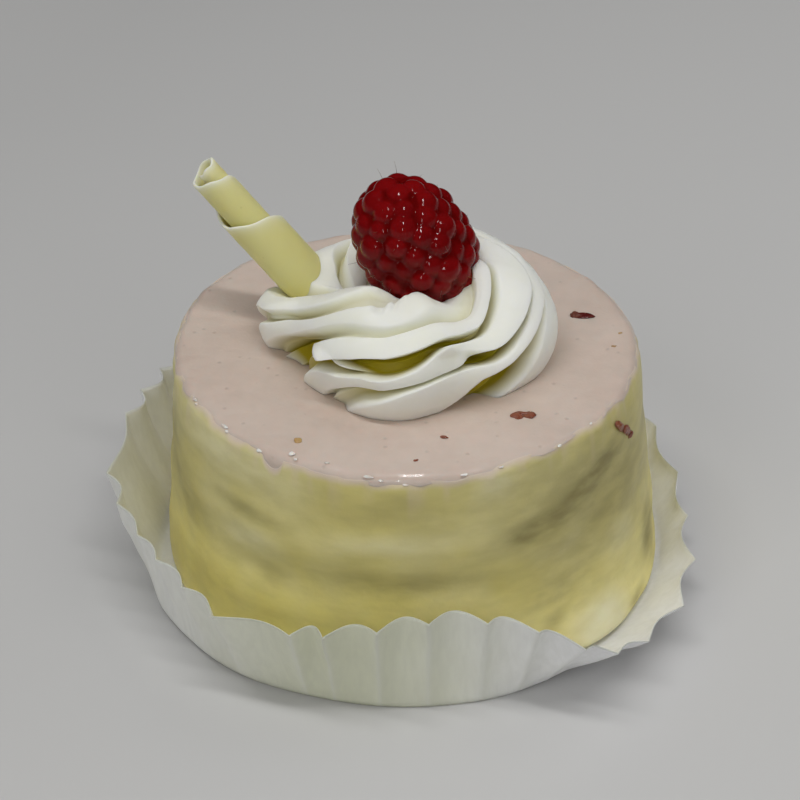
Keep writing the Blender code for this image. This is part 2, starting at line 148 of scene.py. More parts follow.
# The paper case: the folds of its wall by azimuth, their depth, where the wall's edge reaches, how
# high it stands, how far its foot draws in under the cake and up to which share of the wall
CASE_RADIUS = 44.4
CASE_SHIFT = (0.7, -2.2)
FLOOR_ROUNDING = 0.8
FLOOR_SHARES = (0.35, 0.7, 0.94)
LEFT_FOLDS = (153, 161.5, 170.5, 190.5, 200.7, 211, 219, 228, 237)
FRONT_FOLDS = (251, 256.5, 265, 274, 284, 291.5, 297.5)
RIGHT_FOLDS = (303.5, 312, 324, 339, 353.5, 368, 382, 394)
BACK_FOLDS = 14
FOLD_DEPTH = (
    (0, 1.5), (30, 1.8), (90, 2.4), (180, 2.0), (198, 1.7), (214, 1.2), (226, 1.6), (240, 2.6),
    (255, 2.7), (290, 2.5), (303, 1.8), (318, 1.9), (345, 1.9),
)
RIM_REACH = (
    (8, 47.2), (22, 47.4), (34, 47.8), (60, 48.5), (120, 48.5), (150, 47.4), (175, 47.8), (190, 49.0),
    (200, 49.2), (211, 49.0), (219, 49.6), (228, 51.0), (237, 53.6), (251, 53.2), (265, 51.0),
    (275, 48.9), (284, 50.0), (291.5, 53.4), (298, 57.6), (303.5, 57.4), (312, 55.4), (324, 53.6),
    (339, 50.2), (354, 47.4),
)
RIM_HEIGHT = (
    (8, 6.2), (22, 8.0), (34, 11.0), (55, 16.0), (80, 18.0), (150, 18.2), (200, 17.6), (237, 16.8),
    (275, 18.3), (284, 18.0), (291.5, 17.2), (298, 14.7), (303.5, 11.6), (312, 8.4), (324, 7.4), (339, 6.2),
)
FOOT_TUCK = (
    (0, 2.6), (30, 2.5), (90, 2.1), (150, 3.0), (185, 3.2), (198, 1.6), (206, 0.1), (222, -0.4),
    (234, -0.7), (252, 0.0), (270, 0.0), (295, 0.5), (305, 1.6), (320, 2.2), (335, 2.4), (350, 2.6),
)
TUCK_SHARE = 0.8
COLUMNS_PER_FOLD = 16
WALL_ROWS = 30
# Where the paper is painted darker and yellower as shade, and is greasier, close to the cake at
# the front and the left, while elsewhere it is painted whiter as lit; and where the folds' sides
# turn from the light and are painted darker as shade: azimuth and half width
FRONT_PAINTED_SHADE = (258.0, 50.0)
LEFT_PAINTED_SHADE = (200.0, 50.0)
TURNED_FOLDS = (272.0, 42.0)

# The cream rosette: a fluted ring that sinks to a nest in its middle
CREST_RADIUS = 12.0
CREAM_AXIS_RISE = 5.0
INNER_HALF_WIDTH = 6.0
NEST_RISE = 8.6
LIP_ANGLE = -28.0
NEST_ANGLE = 168.0
# Each groove from the foot to the nest, by azimuth and tilt about the ring's own axis
GROOVES = (
    ((170, -28), (178, -5), (186, 14), (196, 28), (208, 38), (223, 50), (260, 90), (285, 130), (305, 168)),
    ((190, -28), (196, -12), (207, 3), (217, 17), (228, 30), (263, 56), (296, 67), (321, 81), (345, 120),
     (365, 168)),
    ((208, -28), (214, -10), (224, 4), (238, 14), (252, 23), (266, 32), (279, 38), (290, 42), (306, 53),
     (325, 71), (345, 85), (385, 120), (415, 168)),
    ((236, -28), (241, -15), (247, -6), (262, 5), (286, 12), (304, 16), (322, 30), (345, 48), (374, 62),
     (400, 95), (445, 168)),
    ((296, -28), (310, -16), (320, 5), (334, 28), (352, 40), (390, 62), (425, 95), (480, 168)),
    ((345, -28), (354, 0), (372, 24), (410, 50), (450, 85), (510, 168)),
    ((410, -28), (420, 0), (445, 32), (480, 62), (515, 100), (560, 168)),
    ((505, -28), (512, 0), (522, 30), (534, 62), (546, 95), (560, 124), (580, 146), (610, 168)),
)
# How deep each groove is in millimetres, by azimuth along it
GROOVE_DEPTH = (
    ((170, 1.8), (205, 2.2), (240, 1.6), (305, 1.0)),
    ((184, 2.0), (216, 2.6), (240, 1.5), (300, 1.5), (365, 1.0)),
    ((208, 2.6), (235, 3.2), (290, 3.4), (306, 2.6), (345, 2.0), (415, 1.2)),
    ((240, 1.6), (262, 2.8), (285, 2.4), (306, 3.6), (345, 3.0), (445, 1.2)),
    ((296, 2.6), (320, 4.2), (350, 3.8), (480, 1.2)),
    ((345, 2.0), (372, 2.8), (510, 1.2)),
    ((410, 2.0), (445, 2.6), (560, 1.2)),
    ((505, 2.0), (525, 2.4), (580, 2.0), (625, 1.2)),
)
# Each ridge's form by azimuth: the share of its breadth that lies deep under the ridge above and
# the share over which it rises from there, the same two for its lower edge, how its face leans in
# millimetres (above 0 the lower edge stands out) and how many degrees the lower edge hangs over
RIDGES = (
    ((150, 0.03, 0.22, 0.06, 0.20, 0.3, 2.0), (195, 0.03, 0.20, 0.16, 0.16, 0.4, 3.0),
     (300, 0.03, 0.3, 0.05, 0.2, 0.3, 2.0)),
    ((180, 0.08, 0.20, 0.10, 0.20, -0.2, 1.0), (240, 0.03, 0.10, 0.04, 0.40, -0.6, 0.0),
     (330, 0.03, 0.14, 0.04, 0.4, -0.6, 0.0)),
    ((215, 0.05, 0.14, 0.12, 0.12, 0.4, 2.0), (240, 0.02, 0.12, 0.20, 0.12, 0.6, 2.0),
     (284, 0.02, 0.12, 0.16, 0.12, 0.8, 3.0), (300, 0.02, 0.14, 0.06, 0.14, 0.8, 3.5),
     (360, 0.03, 0.2, 0.05, 0.2, 0.6, 2.0)),
    ((215, 0.18, 0.12, 0.04, 0.16, -0.3, 0.0), (262, 0.25, 0.12, 0.04, 0.12, -0.6, 0.0),
     (280, 0.20, 0.12, 0.05, 0.12, -0.5, 1.0), (291, 0.04, 0.12, 0.12, 0.14, -0.2, 1.0),
     (302, 0.02, 0.14, 0.32, 0.10, 0.4, 2.0), (316, 0.02, 0.2, 0.20, 0.12, 0.8, 4.0),
     (330, 0.03, 0.2, 0.10, 0.12, 0.8, 4.0), (370, 0.03, 0.2, 0.05, 0.2, 0.7, 3.0)),
    ((240, 0.10, 0.08, 0.02, 0.20, -0.7, 0.0), (280, 0.10, 0.08, 0.03, 0.14, -0.4, 0.0),
     (298, 0.08, 0.10, 0.18, 0.12, 0.2, 3.0), (320, 0.08, 0.12, 0.14, 0.12, 0.5, 3.0),
     (400, 0.03, 0.2, 0.05, 0.2, 0.4, 2.0)),
    ((300, 0.14, 0.18, 0.03, 0.2, 0.4, 0.0), (350, 0.12, 0.16, 0.05, 0.2, 0.5, 2.0),
     (420, 0.03, 0.2, 0.05, 0.2, 0.5, 2.0)),
    ((350, 0.05, 0.2, 0.05, 0.2, 0.5, 2.0), (500, 0.05, 0.2, 0.05, 0.2, 0.5, 2.0)),
    ((410, 0.05, 0.2, 0.05, 0.2, 0.5, 2.0), (600, 0.05, 0.2, 0.05, 0.2, 0.5, 2.0)),
)
# Soft round dents and bumps on the ridges: ridge, azimuth, tilt, half widths and height
CREAM_SPOTS = (
    (0, 190, 34, 12, 30, 1.0), (2, 205, 0, 28, 44, -6.0), (2, 243, 17, 24, 5, 2.6),
    (3, 243, 17, 24, 5, 2.6), (3, 288, 36, 8, 9, 1.2), (3, 303, 26, 11, 10, -1.8),
)
TORN_RIDGE = 1
TORN_AZIMUTH = 258.0
# The radius of the cream's foot and the rise of its crest, by azimuth
CREAM_OUTLINE = (
    (0, 23.6), (25, 21.4), (60, 20.6), (110, 20.0), (150, 21.0), (165, 23.4), (188, 22.6), (203, 20.0),
    (217, 20.3), (240, 22.0), (265, 24.4), (291, 22.2), (315, 23.8), (345, 24.6),
)
CREAM_CREST = (
    (0, 15.8), (50, 15.4), (80, 14.4), (110, 12.6), (150, 12.0), (175, 9.2), (185, 10.2), (197, 11.6),
    (210, 13.2), (225, 14.9), (243, 16.0), (262, 14.9), (283, 15.1), (299, 13.3), (312, 12.6),
    (323, 14.2), (335, 15.8),
)
COLUMNS_PER_RIDGE = 52
CREAM_ROWS = 190

# The raspberry and its dry hairs
BERRY_BASE = (6.4, -0.3, 46.6)
BERRY_LEAN = 30.0
BERRY_LENGTH = 20.2
BERRY_CORE_RADIUS = 7.85
BERRY_WAIST = 0.36
BERRY_HEART = 0.45
BERRY_ROWS = 190
BERRY_COLUMNS = 280
DRUPELET_SPACING = 3.3
DRUPELET_BLEND = 6.0
GOLDEN_TURN = 137.508
# The area that a point of a close packing takes, for a spacing of 1
PACKED_AREA = 0.866
HAIRS = 44
HAIR_RADIUS = 0.035
HAIR_STEPS = 9
HAIR_SIDES = 6

# The white chocolate curl: by the angle round the roll, the sheet's radius and where its far edge is
CURL_FOOT = (-14.0, 6.0, 42.6)
CURL_DIRECTION = (-0.642, 0.128, 0.755)
CURL_STEP = 3.0
CURL_START = -2.0
CURL_ROWS = 40
CURL_CAP_STEPS = 7
CURL_TURNS = (
    (-105, 4.25, 10.5), (0, 4.05, 14.3), (90, 3.95, 17.0), (140, 3.95, 18.2), (180, 3.9, 20.0),
    (270, 3.2, 21.8), (360, 2.6, 23.9), (450, 2.75, 25.4), (540, 3.0, 26.5), (630, 2.65, 27.6),
    (720, 2.0, 27.2), (800, 1.55, 26.9), (900, 1.15, 26.4), (990, 0.8, 25.9),
)

# The floor, just under the paper
FLOOR_HEIGHT = -0.05
# The lamps: name, place and size in metres, the setting that gives the power, and the share of it
LAMPS = (
    ("Key", (-0.05, -0.14, 0.9), (1.0, 0.06), "key_power", 1.0),
    ("Fill", (-0.5, -0.6, 0.55), (0.6, 0.6), "fill_power", 1.0),
    ("Side", (0.5, -0.6, 0.55), (0.6, 0.6), "fill_power", 0.6),
    ("Back", (0.5, 0.35, 0.7), (0.6, 0.6), "fill_power", 0.6),
    ("Sparkle", (0.03, -0.22, 0.60), (0.05, 0.18), "sparkle_power", 1.0),
    ("Low Sparkle", (-0.05, -0.60, 0.28), (0.05, 0.20), "sparkle_power", 0.5),
)
LAMP_TARGET = (0.0, 0.0, 0.03)
SKY_COLOUR = (0.98, 0.99, 1.0, 1.0)

# The camera: where it stands and looks, and its focal length for a 36 mm wide frame
CAMERA_PLACE = (-0.69, -308.18, 230.24)
CAMERA_RIGHT = (0.99998, -0.00357, -0.00538)
CAMERA_UP = (0.00646, 0.55338, 0.83290)
CAMERA_LENS = 102.08


# Curves, waves and grids

def smooth_step(x):
    """A rise from 0 to 1 with level ends: 3x squared less 2x cubed, for x from 0 to 1."""
    x = np.clip(x, 0.0, 1.0)
    return x * x * (3.0 - 2.0 * x)


def curve(x_knots, y_knots, x):
    """A smooth curve through knots: cubic between them, its slope at a knot set by the two beside it."""
    slope = np.gradient(y_knots, x_knots)
    i = np.clip(np.searchsorted(x_knots, x, side="right") - 1, 0, len(x_knots) - 2)
    span = x_knots[i + 1] - x_knots[i]
    t = (x - x_knots[i]) / span
    start = y_knots[i] * (1 + 2 * t) * (1 - t) ** 2 + slope[i] * span * t * (1 - t) ** 2
    end = y_knots[i + 1] * (3 - 2 * t) * t**2 + slope[i + 1] * span * (t - 1) * t**2
    return start + end


def around(pairs, azimuth):
    """A value given at a few azimuths, carried smoothly between them and round the full turn."""
    knots = np.array(pairs, dtype=float)
    turn = np.array([360.0, 0.0])
    knots = np.concatenate([knots[-2:] - turn, knots, knots[:2] + turn])
    return curve(knots[:, 0], knots[:, 1], np.mod(azimuth - pairs[0][0], 360.0) + pairs[0][0])


def between(pairs, x):
    """A smooth curve through pairs, kept at its end values beyond them."""
    knots = np.array(pairs, dtype=float)
    return curve(knots[:, 0], knots[:, 1], np.clip(x, knots[0, 0], knots[-1, 0]))


def past(azimuth, centre):
    """How far an azimuth lies past a centre, from -180 to 180 degrees."""
    return np.mod(azimuth - centre + 180.0, 360.0) - 180.0


def hump(away, half_width):
    """1 in the middle, falling as a cosine to 0 at half_width away and beyond."""
    return 0.5 + 0.5 * np.cos(np.pi * np.clip(np.abs(away) / half_width, 0.0, 1.0))


def plateau(share, flat, slope):
    """1 over the flat share, then a soft fall to 0 over the sloping share."""
    return 1.0 - smooth_step((share - flat) / slope)


def ring(radius, azimuth, height, shift=(0.0, 0.0)):
    """Points at a radius, an azimuth and a height, round a shifted middle."""
    turn = np.radians(azimuth)
    x = shift[0] + radius * np.cos(turn)
    y = shift[1] + radius * np.sin(turn)
    return np.stack(np.broadcast_arrays(x, y, height), axis=-1)


def ragged(azimuth, seed, low, high, slope=0.5):
    """An uneven line round a circle: sines of whole numbers of waves, with random sizes and phases.

    A sine's size falls as its number of waves to the power slope, and the sum is about 1 high.
    """
    rng = np.random.default_rng(seed)
    waves = np.arange(low, high)
    size = rng.uniform(0.4, 1.0, len(waves)) / waves**slope
    phase = rng.uniform(0.0, 2 * np.pi, len(waves))
    total = sum(s * np.sin(np.radians(azimuth) * w + p) for w, s, p in zip(waves, size, phase))
    return total / math.sqrt(float((size**2).sum()) / 2) / WAVE_PEAK


def soft_waves(points, length, seed, count=12):
    """Soft random relief of about 1: the sum of sines along random directions, of about one length."""
    rng = np.random.default_rng(seed)
    way = rng.normal(size=(count, 3))
    way *= 2 * np.pi / (length * rng.uniform(0.7, 1.5, (count, 1)) * np.linalg.norm(way, axis=1)[:, None])
    phase = rng.uniform(0.0, 2 * np.pi, count)
    total = sum(np.sin(points @ w + p) for w, p in zip(way, phase))
    return total / math.sqrt(count / 2) / WAVE_PEAK


def grid_quads(rows, columns):
    """The patches of a grid that closes on itself along its rows, its points numbered row by row."""
    r, c = np.meshgrid(np.arange(rows - 1), np.arange(columns), indexing="ij")
    d = (c + 1) % columns
    corners = (r * columns + c, r * columns + d, (r + 1) * columns + d, (r + 1) * columns + c)
    return np.stack(corners, axis=-1).reshape(-1, 4).tolist()


def closed_skin(grid, low_pole, high_pole):
    """Points and faces of a closed skin through rings of points, with a fan to a pole at each end."""
    rows, columns = grid.shape[:2]
    points = np.concatenate([grid.reshape(-1, 3), [low_pole], [high_pole]])
    c = np.arange(columns)
    d = (c + 1) % columns
    low = np.full(columns, rows * columns)
    top = (rows - 1) * columns
    fans = np.concatenate([np.stack([d, c, low], -1), np.stack([top + c, top + d, low + 1], -1)])
    return points, grid_quads(rows, columns) + fans.tolist()


def ball(rows, columns):
    """The points and faces of a unit ball, by latitude and azimuth."""
    level = np.radians(np.linspace(-90.0, 90.0, rows + 2)[1:-1])[:, None]
    azimuth = np.broadcast_to(np.arange(columns) * 360.0 / columns, (rows, columns))
    return closed_skin(ring(np.cos(level), azimuth, np.sin(level)), (0.0, 0.0, -1.0), (0.0, 0.0, 1.0))


def join_parts(parts):
    """Several parts' points and faces as one."""
    first = np.cumsum([0] + [len(points) for points, _ in parts])
    faces = [[i + start for i in face] for (_, part), start in zip(parts, first) for face in part]
    return np.concatenate([points for points, _ in parts]), faces


def make_piece(name, shape, finish, slot, *nodes):
    """A smooth piece from a shape: points in millimetres, faces, and numbers for each point by name.

    It rides on the one body and hides the solids that it stands for. Its slot is not used.
    """
    points, faces, values = shape
    mesh = bpy.data.meshes.new(name)
    mesh.from_pydata((points * MM).tolist(), [], faces)
    for label, numbers in values.items():
        stored = mesh.attributes.new(label, "FLOAT", "POINT")
        stored.data.foreach_set("value", np.asarray(numbers, dtype=np.float32).ravel())
    mesh.update()
    mesh.shade_smooth()
    mesh.materials.append(finish)
    piece = bpy.data.objects.new(name, mesh)
    bpy.context.scene.collection.objects.link(piece)
    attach(piece, "root")
    if nodes:
        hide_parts(*nodes)
    return piece


# Shader nodes

def feed(tree, socket, value):
    """Links an output into a socket, or sets the socket's own value."""
    if isinstance(value, bpy.types.NodeSocket):
        tree.links.new(value, socket)
    else:
        socket.default_value = (*value, 1.0) if socket.type == "RGBA" else value


def put(tree, kind, settings=None, **sockets):
    """Adds a node. A socket's value is a plain value, or another node's output that is linked in."""
    node = tree.nodes.new(kind)
    for label, value in (settings or {}).items():
        setattr(node, label, value)
    for label, value in sockets.items():
        feed(tree, node.inputs[label.replace("_", " ")], value)
    return node


def reckon(tree, way, first, second):
    """One step of arithmetic between two values."""
    node = put(tree, "ShaderNodeMath", {"operation": way})
    feed(tree, node.inputs[0], first)
    feed(tree, node.inputs[1], second)
    return node.outputs[0]


def soft_range(tree, value, start, end):
    """A soft rise from 0 to 1 as a value goes from start to end."""
    settings = {"interpolation_type": "SMOOTHSTEP"}
    return put(tree, "ShaderNodeMapRange", settings, Value=value, From_Min=start, From_Max=end).outputs[0]


def mottle(tree, given):
    """Soft patches: noise at one scale, its middle range widened to run from 0 to 1."""
    sockets = {label: given[label] for label in ("Vector", "Scale", "Detail")}
    noise = put(tree, "ShaderNodeTexNoise", **sockets)
    return soft_range(tree, noise.outputs["Fac"], given["Low"], given["High"])


def specks(tree, given):
    """Small scattered dots: 1 at the middle of some cells of a cell pattern, 0 outside the dots."""
    cells = put(tree, "ShaderNodeTexVoronoi", Vector=given["Vector"], Scale=given["Scale"])
    dot = soft_range(tree, cells.outputs["Distance"], given["Radius"], 0.0)
    channels = put(tree, "ShaderNodeSeparateColor", Color=cells.outputs["Color"])
    return reckon(tree, "MULTIPLY", dot, reckon(tree, "LESS_THAN", channels.outputs[0], given["Share"]))


def relief(tree, given):
    """A fine uneven height: coarse noise with a share of finer noise."""
    coarse = put(tree, "ShaderNodeTexNoise", Vector=given["Vector"], Scale=given["Scale"], Detail=3.0)
    fine = put(tree, "ShaderNodeTexNoise", Vector=given["Vector"], Scale=given["Fine Scale"], Detail=2.0)
    part = reckon(tree, "MULTIPLY", fine.outputs["Fac"], given["Fine Share"])
    return reckon(tree, "ADD", coarse.outputs["Fac"], part)


# The shared shader groups: what builds each, its output, and its inputs beside the vector
GROUPS = {
    "Soft Mottle": (mottle, "Mask", {"Scale": 100.0, "Detail": 2.0, "Low": 0.35, "High": 0.65}),
    "Scattered Specks": (specks, "Mask", {"Scale": 300.0, "Radius": 0.3, "Share": 0.3}),
    "Fine Relief": (relief, "Height", {"Scale": 300.0, "Fine Scale": 1500.0, "Fine Share": 0.3}),
}


def shared_group(name):
    """A shared shader group, built the first time that a material asks for it."""
    if name in bpy.data.node_groups:
        return bpy.data.node_groups[name]
    build, output, numbers = GROUPS[name]
    group = bpy.data.node_groups.new(name, "ShaderNodeTree")
    group.interface.new_socket("Vector", in_out="INPUT", socket_type="NodeSocketVector")
    for label, value in numbers.items():
        group.interface.new_socket(label, in_out="INPUT", socket_type="NodeSocketFloat").default_value = value
    group.interface.new_socket(output, in_out="OUTPUT", socket_type="NodeSocketFloat")
    result = build(group, group.nodes.new("NodeGroupInput").outputs)
    feed(group, group.nodes.new("NodeGroupOutput").inputs[output], result)
    return group


def toned(colour, factors):
    """A colour times one factor, or one for each channel, and at most 1."""
    return tuple(np.minimum(np.array(tuple(colour)) * factors, 1.0).tolist())


class Finish:
    """A material in the making: its nodes, its shader, the piece's own coordinates and its colour."""

    def __init__(self, name, colour):
        self.material = bpy.data.materials.new(name)
        self.material.use_nodes = True
        self.tree = self.material.node_tree
        self.shader = self.tree.nodes["Principled BSDF"]
        self.place = put(self.tree, "ShaderNodeTexCoord").outputs["Object"]
        self.colour = tuple(colour)

    def mapped(self, **turn):
        """The piece's coordinates, stretched or turned."""
        return put(self.tree, "ShaderNodeMapping", Vector=self.place, **turn).outputs[0]

    def axis(self, label, vector=None):
        """One of the piece's coordinates, in metres, or one of others."""
        return put(self.tree, "ShaderNodeSeparateXYZ", Vector=vector or self.place).outputs[label]

    def use(self, group, vector=None, **numbers):
        """A shared group's output, on the piece's coordinates or on others."""
        settings = {"node_tree": shared_group(group)}
        return put(self.tree, "ShaderNodeGroup", settings, Vector=vector or self.place, **numbers).outputs[0]

    def patches(self, scale, vector=None, **numbers):
        """A mask of soft patches."""
        return self.use("Soft Mottle", vector, Scale=scale, **numbers)

    def stored(self, label):
        """The number that the piece's mesh holds for each point under a name."""
        return put(self.tree, "ShaderNodeAttribute", {"attribute_name": label}).outputs["Fac"]

    def times(self, first, second):
        """The product of two values."""
        return reckon(self.tree, "MULTIPLY", first, second)

    def step(self, value, start, end):
        """A rise from 0 to 1 as a value goes from start to end."""
        return put(self.tree, "ShaderNodeMapRange", Value=value, From_Min=start, From_Max=end).outputs[0]

    def spread(self, value, low, high):
        """A value from 0 to 1 spread between two others, and kept within them."""
        return put(self.tree, "ShaderNodeMapRange", Value=value, To_Min=low, To_Max=high).outputs[0]

    def mixed(self, share, first, second):
        """A colour that goes from first to second as share goes from 0 to 1."""
        node = put(self.tree, "ShaderNodeMix", {"data_type": "RGBA"})
        for number, value in ((0, share), (6, first), (7, second)):
            feed(self.tree, node.inputs[number], value)
        return node.outputs[2]

    def blend(self, share, colour):
        """Takes the material's colour towards another as share goes from 0 to 1."""
        self.colour = self.mixed(share, self.colour, colour)

    def emboss(self, height, distance):
        """Raises a height on the surface, its distance in millimetres."""
        bump = put(self.tree, "ShaderNodeBump", Height=height, Distance=distance * MM, Strength=1.0)
        feed(self.tree, self.shader.inputs["Normal"], bump.outputs["Normal"])

    def close(self, scatter=0.0, reach=(1.0, 0.6, 0.4), depth=1.0, **sockets):
        """Feeds the shader its colour, its scatter and any other socket, and gives the material.

        Scatter is the share of the light that spreads inside, reach how far each channel goes, and
        depth the millimetres that a reach of 1 stands for.
        """
        sockets |= {
            "Base_Color": self.colour,
            "Subsurface_Weight": scatter,
            "Subsurface_Radius": reach,
            "Subsurface_Scale": depth * MM,
        }
        for label, value in sockets.items():
            feed(self.tree, self.shader.inputs[label.replace("_", " ")], value)
        return self.material


# What a user would change

def colour_property(name, description, default):
    return bpy.props.FloatVectorProperty(
        name=name, description=description, default=default, subtype="COLOR", min=0.0, max=1.0
    )


def number_property(name, description, default, unit="NONE", precision=2):
    return bpy.props.FloatProperty(
        name=name, description=description, default=default, unit=unit, precision=precision
    )


def length_property(name, description, default):
    return number_property(name, description, default * MM, "LENGTH", 5)


class CaseSettings(bpy.types.PropertyGroup):
    # Paper is the colour painted as shade close to the cake; the next colour is the paper painted whiter
    # where it is lit.
    colour: colour_property("Paper", "Colour of the greaseproof paper", (0.74, 0.755, 0.60))
    lit_clean_colour: colour_property(
        "Clean Paper", "Colour of the paper that stands clear of the cake", (0.96, 0.965, 1.0)
    )
    grease_colour: colour_property(
        "Greasy Paper", "Colour where the paper has soaked up fat", (0.68, 0.68, 0.54)
    )
    thickness: length_property("Thickness", "Thickness of the paper wall", 0.15)


class CakeSettings(bpy.types.PropertyGroup):
    coat_colour: colour_property("Coating", "Main colour of the cream coating", (0.70, 0.62, 0.23))
    # Pale Coating is where the coating is thick, and also the painted light on the foot's skirt at the right.
    pale_and_lit_colour: colour_property("Pale Coating", "Colour where the coating is thick", (0.84, 0.80, 0.54))
    # Dark Coating is where sponge shows through, and also the painted shade on the side's right.
    dark_colour: colour_property("Dark Coating", "Colour where sponge shows through", (0.29, 0.25, 0.095))
    foot_colour: colour_property("Coating Foot", "Colour low on the side", (0.88, 0.78, 0.28))
    edge_colour: colour_property(
        "Coating Edge", "Colour of the thin coating next to the mousse", (0.75, 0.61, 0.51)
    )
    mousse_colour: colour_property("Mousse", "Colour of the pink mousse", (0.67, 0.555, 0.48))
    coat_lip: length_property("Coating Lip", "Thickness of the coating at its upper edge", 0.05)
    edge_wobble: length_property("Edge Wobble", "How far the coating's edge strays", 0.35)


class CreamSettings(bpy.types.PropertyGroup):
    colour: colour_property("Cream", "Colour of the whipped cream", (0.94, 0.95, 0.86))
    # Groove is painted shade: the colour that the cream is darkened towards deep in the grooves.
    groove_shade_colour: colour_property("Groove", "Colour deep between the ridges", (0.42, 0.34, 0.01))
    ridge_depth: number_property("Ridge Depth", "Scales the ridges' depth", 1.0)


class BerrySettings(bpy.types.PropertyGroup):
    colour: colour_property("Flesh", "Colour of the raspberry", (0.205, 0.004, 0.005))
    # Deep Flesh is painted shade: the colour that the flesh darkens to between the drupelets.
    crease_shade_colour: colour_property("Deep Flesh", "Colour between the drupelets", (0.13, 0.002, 0.002))
    hair_colour: colour_property("Hairs", "Colour of the dry hairs", (0.10, 0.05, 0.03))
    drupelet_radius: length_property("Drupelet Radius", "Radius of one drupelet", 2.4)


class CurlSettings(bpy.types.PropertyGroup):
    colour: colour_property("Chocolate", "Colour of the white chocolate", (0.77, 0.725, 0.315))
    edge_colour: colour_property("Broken Edge", "Colour of the sheet's edges", (0.90, 0.90, 0.76))
    thickness: length_property("Sheet", "Thickness of the rolled sheet", 0.5)


class FruitSettings(bpy.types.PropertyGroup):
    dark_colour: colour_property("Dark Fruit", "Colour of the dark fruit pieces", (0.10, 0.012, 0.012))
    brown_colour: colour_property("Brown Fruit", "Colour of the brown fruit pieces", (0.24, 0.07, 0.04))
    seed_colour: colour_property("Seeds", "Colour of the small seeds", (0.58, 0.39, 0.15))


class StageSettings(bpy.types.PropertyGroup):
    floor_colour: colour_property("Floor", "Colour of the pale floor", (0.605, 0.60, 0.59))
    floor_size: number_property("Floor Size", "Width of the floor", 6.0, "LENGTH")
    key_power: number_property("Key Light", "Power of the main light", 3.5, "POWER")
    fill_power: number_property("Fill Light", "Power of the front light", 1.65, "POWER")
    sparkle_power: number_property("Small Light", "Power of the small light", 1.2, "POWER")
    sky: number_property("Sky", "Brightness of the surrounding light", 0.15)


# The cake's skin

def side_radius(azimuth, height):
    """The cake's radius: straight from top to foot, with a skirt at the foot and a swell at the back."""
    share = (CAKE_TOP - height) / CAKE_TOP
    near = hump(past(azimuth, SKIRT_AZIMUTH), SKIRT_HALF_WIDTH)
    swell = SWELL * hump(past(azimuth, SWELL_AZIMUTH), SWELL_HALF_WIDTH) * (1.0 - share)
    skirt = SKIRT_FLARE * near * smooth_step(1.0 - height / SKIRT_HEIGHT)
    return TOP_RADIUS + (FOOT_RADIUS - TOP_RADIUS) * share + skirt + swell


def skin(azimuth, distance, lift=0.0):
    """A point on the cake's skin, by the distance down it from where the flat top ends.

    Inwards of that is the top, then come a quarter circle, the side and a rounding at the foot.
    Lift moves the point straight out of the skin.
    """
    angle = np.clip(distance / RIM_ROUNDING, 0.0, np.pi / 2)
    height = CAKE_TOP - RIM_ROUNDING * (1.0 - np.cos(angle)) - np.maximum(distance - RIM_ARC, 0.0)
    inset = RIM_ROUNDING * (1.0 - np.sin(angle)) + np.maximum(-distance, 0.0)
    low = np.clip(1.0 - (height - CAKE_FLOOR) / FOOT_ROUNDING, 0.0, 1.0)
    inset = inset + FOOT_ROUNDING * (1.0 - np.sqrt(1.0 - low**2))
    radius = side_radius(azimuth, height) - inset + lift * np.sin(angle)
    share = (CAKE_TOP - height) / CAKE_TOP
    shift = (TOP_SHIFT + (FOOT_SHIFT[0] - TOP_SHIFT) * share, FOOT_SHIFT[1] * share)
    return ring(radius, azimuth, height + lift * np.cos(angle), shift)


def coat_edge(azimuth, wobble):
    """How far down the skin the coating starts: a slow curve, one drip of mousse, and a ragged line."""
    drip = np.clip(1.0 - (past(azimuth, DRIP_AZIMUTH) / DRIP_HALF_WIDTH) ** 2, 0.0, 1.0) ** 0.6
    fine = np.tanh(1.3 * ragged(azimuth, 5, 12, 48)) + 0.15 * ragged(azimuth, 6, 60, 120)
    return around(COAT_EDGE, azimuth) + DRIP_LENGTH * drip + wobble * fine * (1.0 - 0.6 * drip)


def band_sum(bands, azimuth, height):
    """The sum of soft bands: each a hump along its length and across its sloping middle line."""
    total = 0.0
    for middle, half_length, level, half_height, rise, strength in bands:
        along = past(azimuth, middle)
        across = height - level - rise * along
        total = total + strength * hump(along, half_length) * hump(across, half_height * 1.6)
    return np.clip(total, 0.0, 1.0)


def back_bands():
    """Bands for the side that faces away, by a seeded draw: half of them dark and half pale."""
    rng = np.random.default_rng(21)
    drawn = []
    for azimuth in np.linspace(-5.0, 180.0, BACK_BANDS):
        level, half_height, slope = rng.uniform((5.0, 1.6, -0.12), (32.0, 2.8, 0.12))
        drawn.append((azimuth, rng.uniform(12.0, 24.0), level, half_height, slope, rng.uniform(0.4, 0.75)))
    return tuple(drawn[0::2]), tuple(drawn[1::2])


